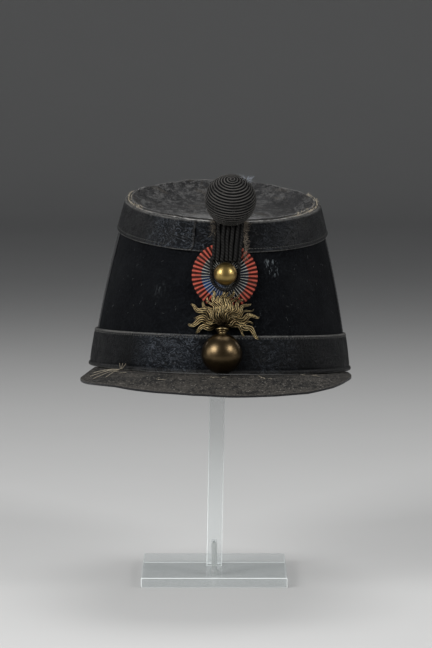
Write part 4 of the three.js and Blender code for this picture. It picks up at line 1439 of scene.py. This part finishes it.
class SHAKO_OT_threads(ShakoOperator):
    """Make the fluff, the frayed ends and the lint"""

    bl_idname = "shako.threads"
    bl_label = "Loose threads"

    def strand(self, bm, start, ahead, long, radius, curl=0.5):
        """A short curly fibre."""
        bend = Vector([random.uniform(-curl, curl) for _ in range(3)])
        ahead = ahead.normalized()
        path = [start + long * (ahead * k / 3 + bend * (k / 3) ** 2) for k in range(4)]
        tube(bm, path, radius, around=4, steps=6)

    def any_way(self, spread=1.0):
        """A direction drawn at random."""
        return Vector([random.uniform(-spread, spread) for _ in range(3)])

    def execute(self, context):
        self.setup(context)
        random.seed(23)
        self.ball_fibres()
        self.frayed_ends()
        self.wisps()
        self.lint()
        return {"FINISHED"}

    def ball_fibres(self):
        """Short fuzz all over the ball and a tuft of pale fluff at its upper right."""
        root = self.trim.ball_radius - 0.0004
        bm = blank()
        for _ in range(260):
            way = self.any_way().normalized()
            start = self.ball_at + way * root
            self.strand(bm, start, way + self.any_way(1.1), random.uniform(0.0008, 0.002), radius=0.000045)
        fuzz = plain("worsted_fuzz", (0.1, 0.095, 0.088), roughness=0.95, scale=900)
        keep(bm, "ball_fuzz", fuzz, self.hat)
        bm = blank()
        tuft = Vector((0.6, -0.12, 0.79))
        for _ in range(26):
            way = (tuft + self.any_way(0.22)).normalized()
            start = self.ball_at + way * root
            ahead = way + self.any_way(0.7)
            self.strand(bm, start, ahead, random.uniform(0.0015, 0.0042), radius=0.00006, curl=0.9)
        fluff = plain("pale_fluff", (0.3, 0.33, 0.38), roughness=0.95, scale=900)
        keep(bm, "ball_fluff", fluff, self.hat)

    def frayed_ends(self):
        """Brown frayed cloth down both sides of the bundle, most on the right."""
        t, crown = self.trim, self.crown
        bm = blank()
        out = self.trim_back + t.cord_radius
        for side, count, low in ((-1, 130, 0.01), (1, 240, 0.027)):
            for _ in range(count):
                up = self.front_edge.z + 0.002 - low * random.random() ** 1.4
                x = t.ball_x + side * (t.stem_half_top - random.uniform(0.0, 0.0022))
                start = crown.face(x, min(up, crown.top_height(0)), out + random.uniform(-0.001, 0.0012))
                way = Vector((side * 0.7, -0.5, random.uniform(-1, 1)))
                self.strand(bm, start, way, random.uniform(0.0008, 0.0026), radius=0.00008, curl=0.8)
        frayed = plain("frayed_cloth", (0.17, 0.14, 0.105), roughness=0.95, scale=700, mottle=0.6)
        keep(bm, "frayed_ends", frayed, self.hat)

    def wisps(self):
        """Tan threads on the peak and ragged hide on the top's rim."""
        s, crown = self.sizes, self.crown
        bm = blank()
        # A fan of threads over the peak's left, and a few that stand up against the band
        root = crown.peak(-0.68, 0.04) + Vector((0, 0, 0.0006))
        for share, reach in ((-0.86, 0.5), (-0.82, 0.75), (-0.77, 0.45), (-0.73, 0.85), (-0.64, 0.7)):
            tip = crown.peak(share, reach) + Vector((0, 0, 0.0004))
            bow = root.lerp(tip, 0.5) + Vector((0.0008, -0.0006, 0.0011))
            tube(bm, [root, bow, tip], radius=0.00013, around=6, steps=16)
        for x, lean in ((-0.0672, 0.0004), (-0.0668, 0.0012), (-0.0678, -0.0003)):
            path = []
            for k in range(3):
                path.append(crown.face(x + lean * k, 0.0004 + 0.0019 * k, (2.2 + 0.2 * k) * s.band_thick))
            tube(bm, path, radius=0.00014, around=6, steps=12)
        # Ragged hide, in degrees round the rim from the front
        for low, high, count in ((48, 66, 60), (66, 112, 70), (-112, -60, 90)):
            for _ in range(count):
                around = math.radians(random.uniform(low, high))
                start = crown.top(around, random.uniform(0, s.wall), 0.5 * s.top_bead)
                way = Vector((random.uniform(-1, 1), random.uniform(-1, 1), 0.9))
                self.strand(bm, start, way, random.uniform(0.0008, 0.0016), radius=0.00011, curl=0.6)
        # Small knots of hair that lie on the peak
        for across, reach in ((-0.62, 0.3), (-0.3, 0.45), (-0.02, 0.2), (0.2, 0.25), (0.5, 0.2)):
            for _ in range(3):
                start = crown.peak(across + random.uniform(-0.03, 0.03), reach + random.uniform(-0.08, 0.08))
                start.z += 0.0003
                way = Vector((random.uniform(-1, 1), random.uniform(-0.7, 0.7), 0.06))
                self.strand(bm, start, way, random.uniform(0.003, 0.006), radius=0.00009, curl=0.3)
        thread = plain("tan_thread", tuple(self.colours.thread), roughness=0.9, scale=600, mottle=0.5)
        keep(bm, "tan_wisps", thread, self.hat)

    def lint(self):
        """Short grey fibres that lie on the cloth."""
        s, crown = self.sizes, self.crown
        clear, proud = 0.004, 0.00005
        bm = blank()
        for _ in range(130):
            around = math.radians(random.uniform(-180, 180))
            up = random.uniform(s.bottom_band + clear, crown.top_height(around) - s.top_band - clear)
            start = crown.point(around, up, proud)
            beside = (crown.point(around + 0.01, up, proud) - start).normalized()
            above = (crown.point(around, up + 0.001, proud) - start).normalized()
            way = beside * random.uniform(-1, 1) + above * random.uniform(-1, 1)
            self.strand(bm, start, way, random.uniform(0.0008, 0.0026), radius=0.000055, curl=0.25)
        lint = plain("grey_lint", (0.12, 0.125, 0.13), roughness=0.95, scale=700)
        keep(bm, "cloth_lint", lint, self.hat)


class SHAKO_OT_stand(ShakoOperator):
    """Make the clear stand's polished edges, painted pale as a highlight, and finish its screw"""

    bl_idname = "shako.stand"
    bl_label = "Stand"

    def execute(self, context):
        self.setup(context)
        body = clear_acrylic("clear_acrylic", (0.62, 0.67, 0.67), low=0.2, high=0.5)
        # The bevelled edges get a pale, nearly opaque finish: a painted highlight
        edge_highlight = clear_acrylic("acrylic_painted_highlight", (0.93, 0.97, 0.97), low=0.8, high=0.95)
        bevel, shortest, narrow = 0.0004, 0.004, 0.0006
        for name, node in (("clear_base", "stand_base"), ("clear_post", "stand_post")):
            bm = bmesh.new()
            bm.from_mesh(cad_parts[node].data)
            bmesh.ops.remove_doubles(bm, verts=bm.verts, dist=1e-6)
            bmesh.ops.dissolve_limit(bm, angle_limit=0.02, verts=bm.verts, edges=bm.edges)
            sharp = [edge for edge in bm.edges if edge.is_manifold and edge.calc_face_angle() > 1.0]
            long_edges = [edge for edge in sharp if edge.calc_length() > shortest]
            bmesh.ops.bevel(
                bm, geom=long_edges, offset=bevel, affect="EDGES", segments=2, profile=0.5, material=-1
            )
            for face in bm.faces:
                longest = max(edge.calc_length() for edge in face.edges)
                if face.calc_area() < narrow * longest:
                    face.material_index = 1
            piece = keep(bm, name, body, Matrix.Identity(4), [node])
            piece.data.materials.append(edge_highlight)
            for polygon in piece.data.polygons:
                polygon.use_smooth = False
        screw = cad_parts["stand_screw"]
        screw.data.materials.clear()
        steel = plain("screw_steel", (0.72, 0.71, 0.69), roughness=0.28, metallic=1.0, mottle=0.2, scale=900)
        screw.data.materials.append(steel)
        return {"FINISHED"}


class SHAKO_OT_stage(bpy.types.Operator):
    """Set up the pale round floor, the lights and the camera"""

    bl_idname = "shako.stage"
    bl_label = "Stage"

    def execute(self, context):
        scene = context.scene
        bm = bmesh.new()
        # A flat round floor that bends up all round, so that no view shows its end
        radius, bend, rise = 3.6, 1.4, 3.4
        profile = [(0, 0), (0.5 * radius, 0), (radius, 0)]
        steps = 12
        for i in range(1, steps + 1):
            turn = i / steps * math.pi / 2
            profile.append((radius + bend * math.sin(turn), bend * (1 - math.cos(turn))))
        profile.append((radius + bend, rise))
        turned(bm, [(out, up - FLOOR_BELOW) for out, up in profile], steps=96)
        mesh = bpy.data.meshes.new("pale_floor")
        bm.to_mesh(mesh)
        bm.free()
        for polygon in mesh.polygons:
            polygon.use_smooth = True
        floor = bpy.data.objects.new("pale_floor", mesh)
        scene.collection.objects.link(floor)
        mesh.materials.append(plain("floor_paper", (0.5, 0.5, 0.495), roughness=0.9, mottle=0.04, scale=6))
        self.lights(scene)
        self.camera(scene)
        return {"FINISHED"}

    @staticmethod
    def lights(scene):
        """Soft lights, each with its place, its size in metres and its power in watts."""
        world = bpy.data.worlds.new("studio")
        world.use_nodes = True
        background = world.node_tree.nodes["Background"]
        background.inputs["Color"].default_value = (0.92, 0.95, 1.0, 1)
        background.inputs["Strength"].default_value = 0.1
        scene.world = world
        scene.view_settings.view_transform = "Standard"
        aim = Vector((0, 0, 0.2))
        for name, at, size, power in (
            ("left_softbox", (-0.9, -0.98, 0.86), 0.6, 20),
            ("right_softbox", (0.95, -0.88, 0.9), 0.42, 11),
            ("left_side_softbox", (-1.35, -0.5, 0.5), 0.6, 4),
            ("right_side_softbox", (1.35, -0.5, 0.5), 0.5, 2),
            ("top_softbox", (0.1, 0.35, 1.5), 0.8, 9),
            ("back_left_softbox", (-1.05, 1.1, 0.8), 0.6, 3),
            ("back_right_softbox", (1.15, 1.0, 0.8), 0.6, 3),
        ):
            light = bpy.data.lights.new(name, "AREA")
            light.energy = power
            light.size = size
            lamp = bpy.data.objects.new(name, light)
            lamp.location = at
            lamp.rotation_euler = (aim - Vector(at)).to_track_quat("-Z", "Y").to_euler()
            scene.collection.objects.link(lamp)

    @staticmethod
    def camera(scene):
        """The photograph's view, worked out for its frame."""
        data = bpy.data.cameras.new("camera")
        data.sensor_fit = "VERTICAL"
        data.sensor_height = SENSOR
        data.lens = FOCAL_PIXELS / PHOTO_HEIGHT * SENSOR
        data.clip_end = 50
        camera = bpy.data.objects.new("camera", data)
        camera.location = CAMERA_AT
        camera.rotation_euler = (math.pi / 2 - CAMERA_PITCH, 0, 0)
        scene.collection.objects.link(camera)
        scene.camera = camera


class SHAKO_PT_panel(bpy.types.Panel):
    """Lists the hat's pieces in the sidebar"""

    bl_label = "Shako"
    bl_idname = "SHAKO_PT_panel"
    bl_space_type = "VIEW_3D"
    bl_region_type = "UI"
    bl_category = "Shako"

    def draw(self, context):
        for operator in OPERATORS:
            self.layout.operator(operator.bl_idname)


OPERATORS = (
    SHAKO_OT_stage,
    SHAKO_OT_crown,
    SHAKO_OT_top,
    SHAKO_OT_bands,
    SHAKO_OT_peak,
    SHAKO_OT_cockade,
    SHAKO_OT_button,
    SHAKO_OT_cords,
    SHAKO_OT_ball,
    SHAKO_OT_grenade,
    SHAKO_OT_threads,
    SHAKO_OT_stand,
)
GROUPS = (ShakoSizes, TrimSizes, ShakoColours)


def register():
    """Registers the classes and hangs the properties on the scene."""
    for cls in (*GROUPS, *OPERATORS, SHAKO_PT_panel):
        bpy.utils.register_class(cls)
    bpy.types.Scene.shako_sizes = PointerProperty(type=ShakoSizes)
    bpy.types.Scene.shako_trim = PointerProperty(type=TrimSizes)
    bpy.types.Scene.shako_colours = PointerProperty(type=ShakoColours)


def unregister():
    """Takes away what register added."""
    del bpy.types.Scene.shako_colours
    del bpy.types.Scene.shako_trim
    del bpy.types.Scene.shako_sizes
    for cls in reversed((*GROUPS, *OPERATORS, SHAKO_PT_panel)):
        bpy.utils.unregister_class(cls)


def main():
    """Makes every piece in order."""
    register()
    for operator in OPERATORS:
        group, name = operator.bl_idname.split(".")
        getattr(getattr(bpy.ops, group), name)()


if __name__ == "__main__":
    main()
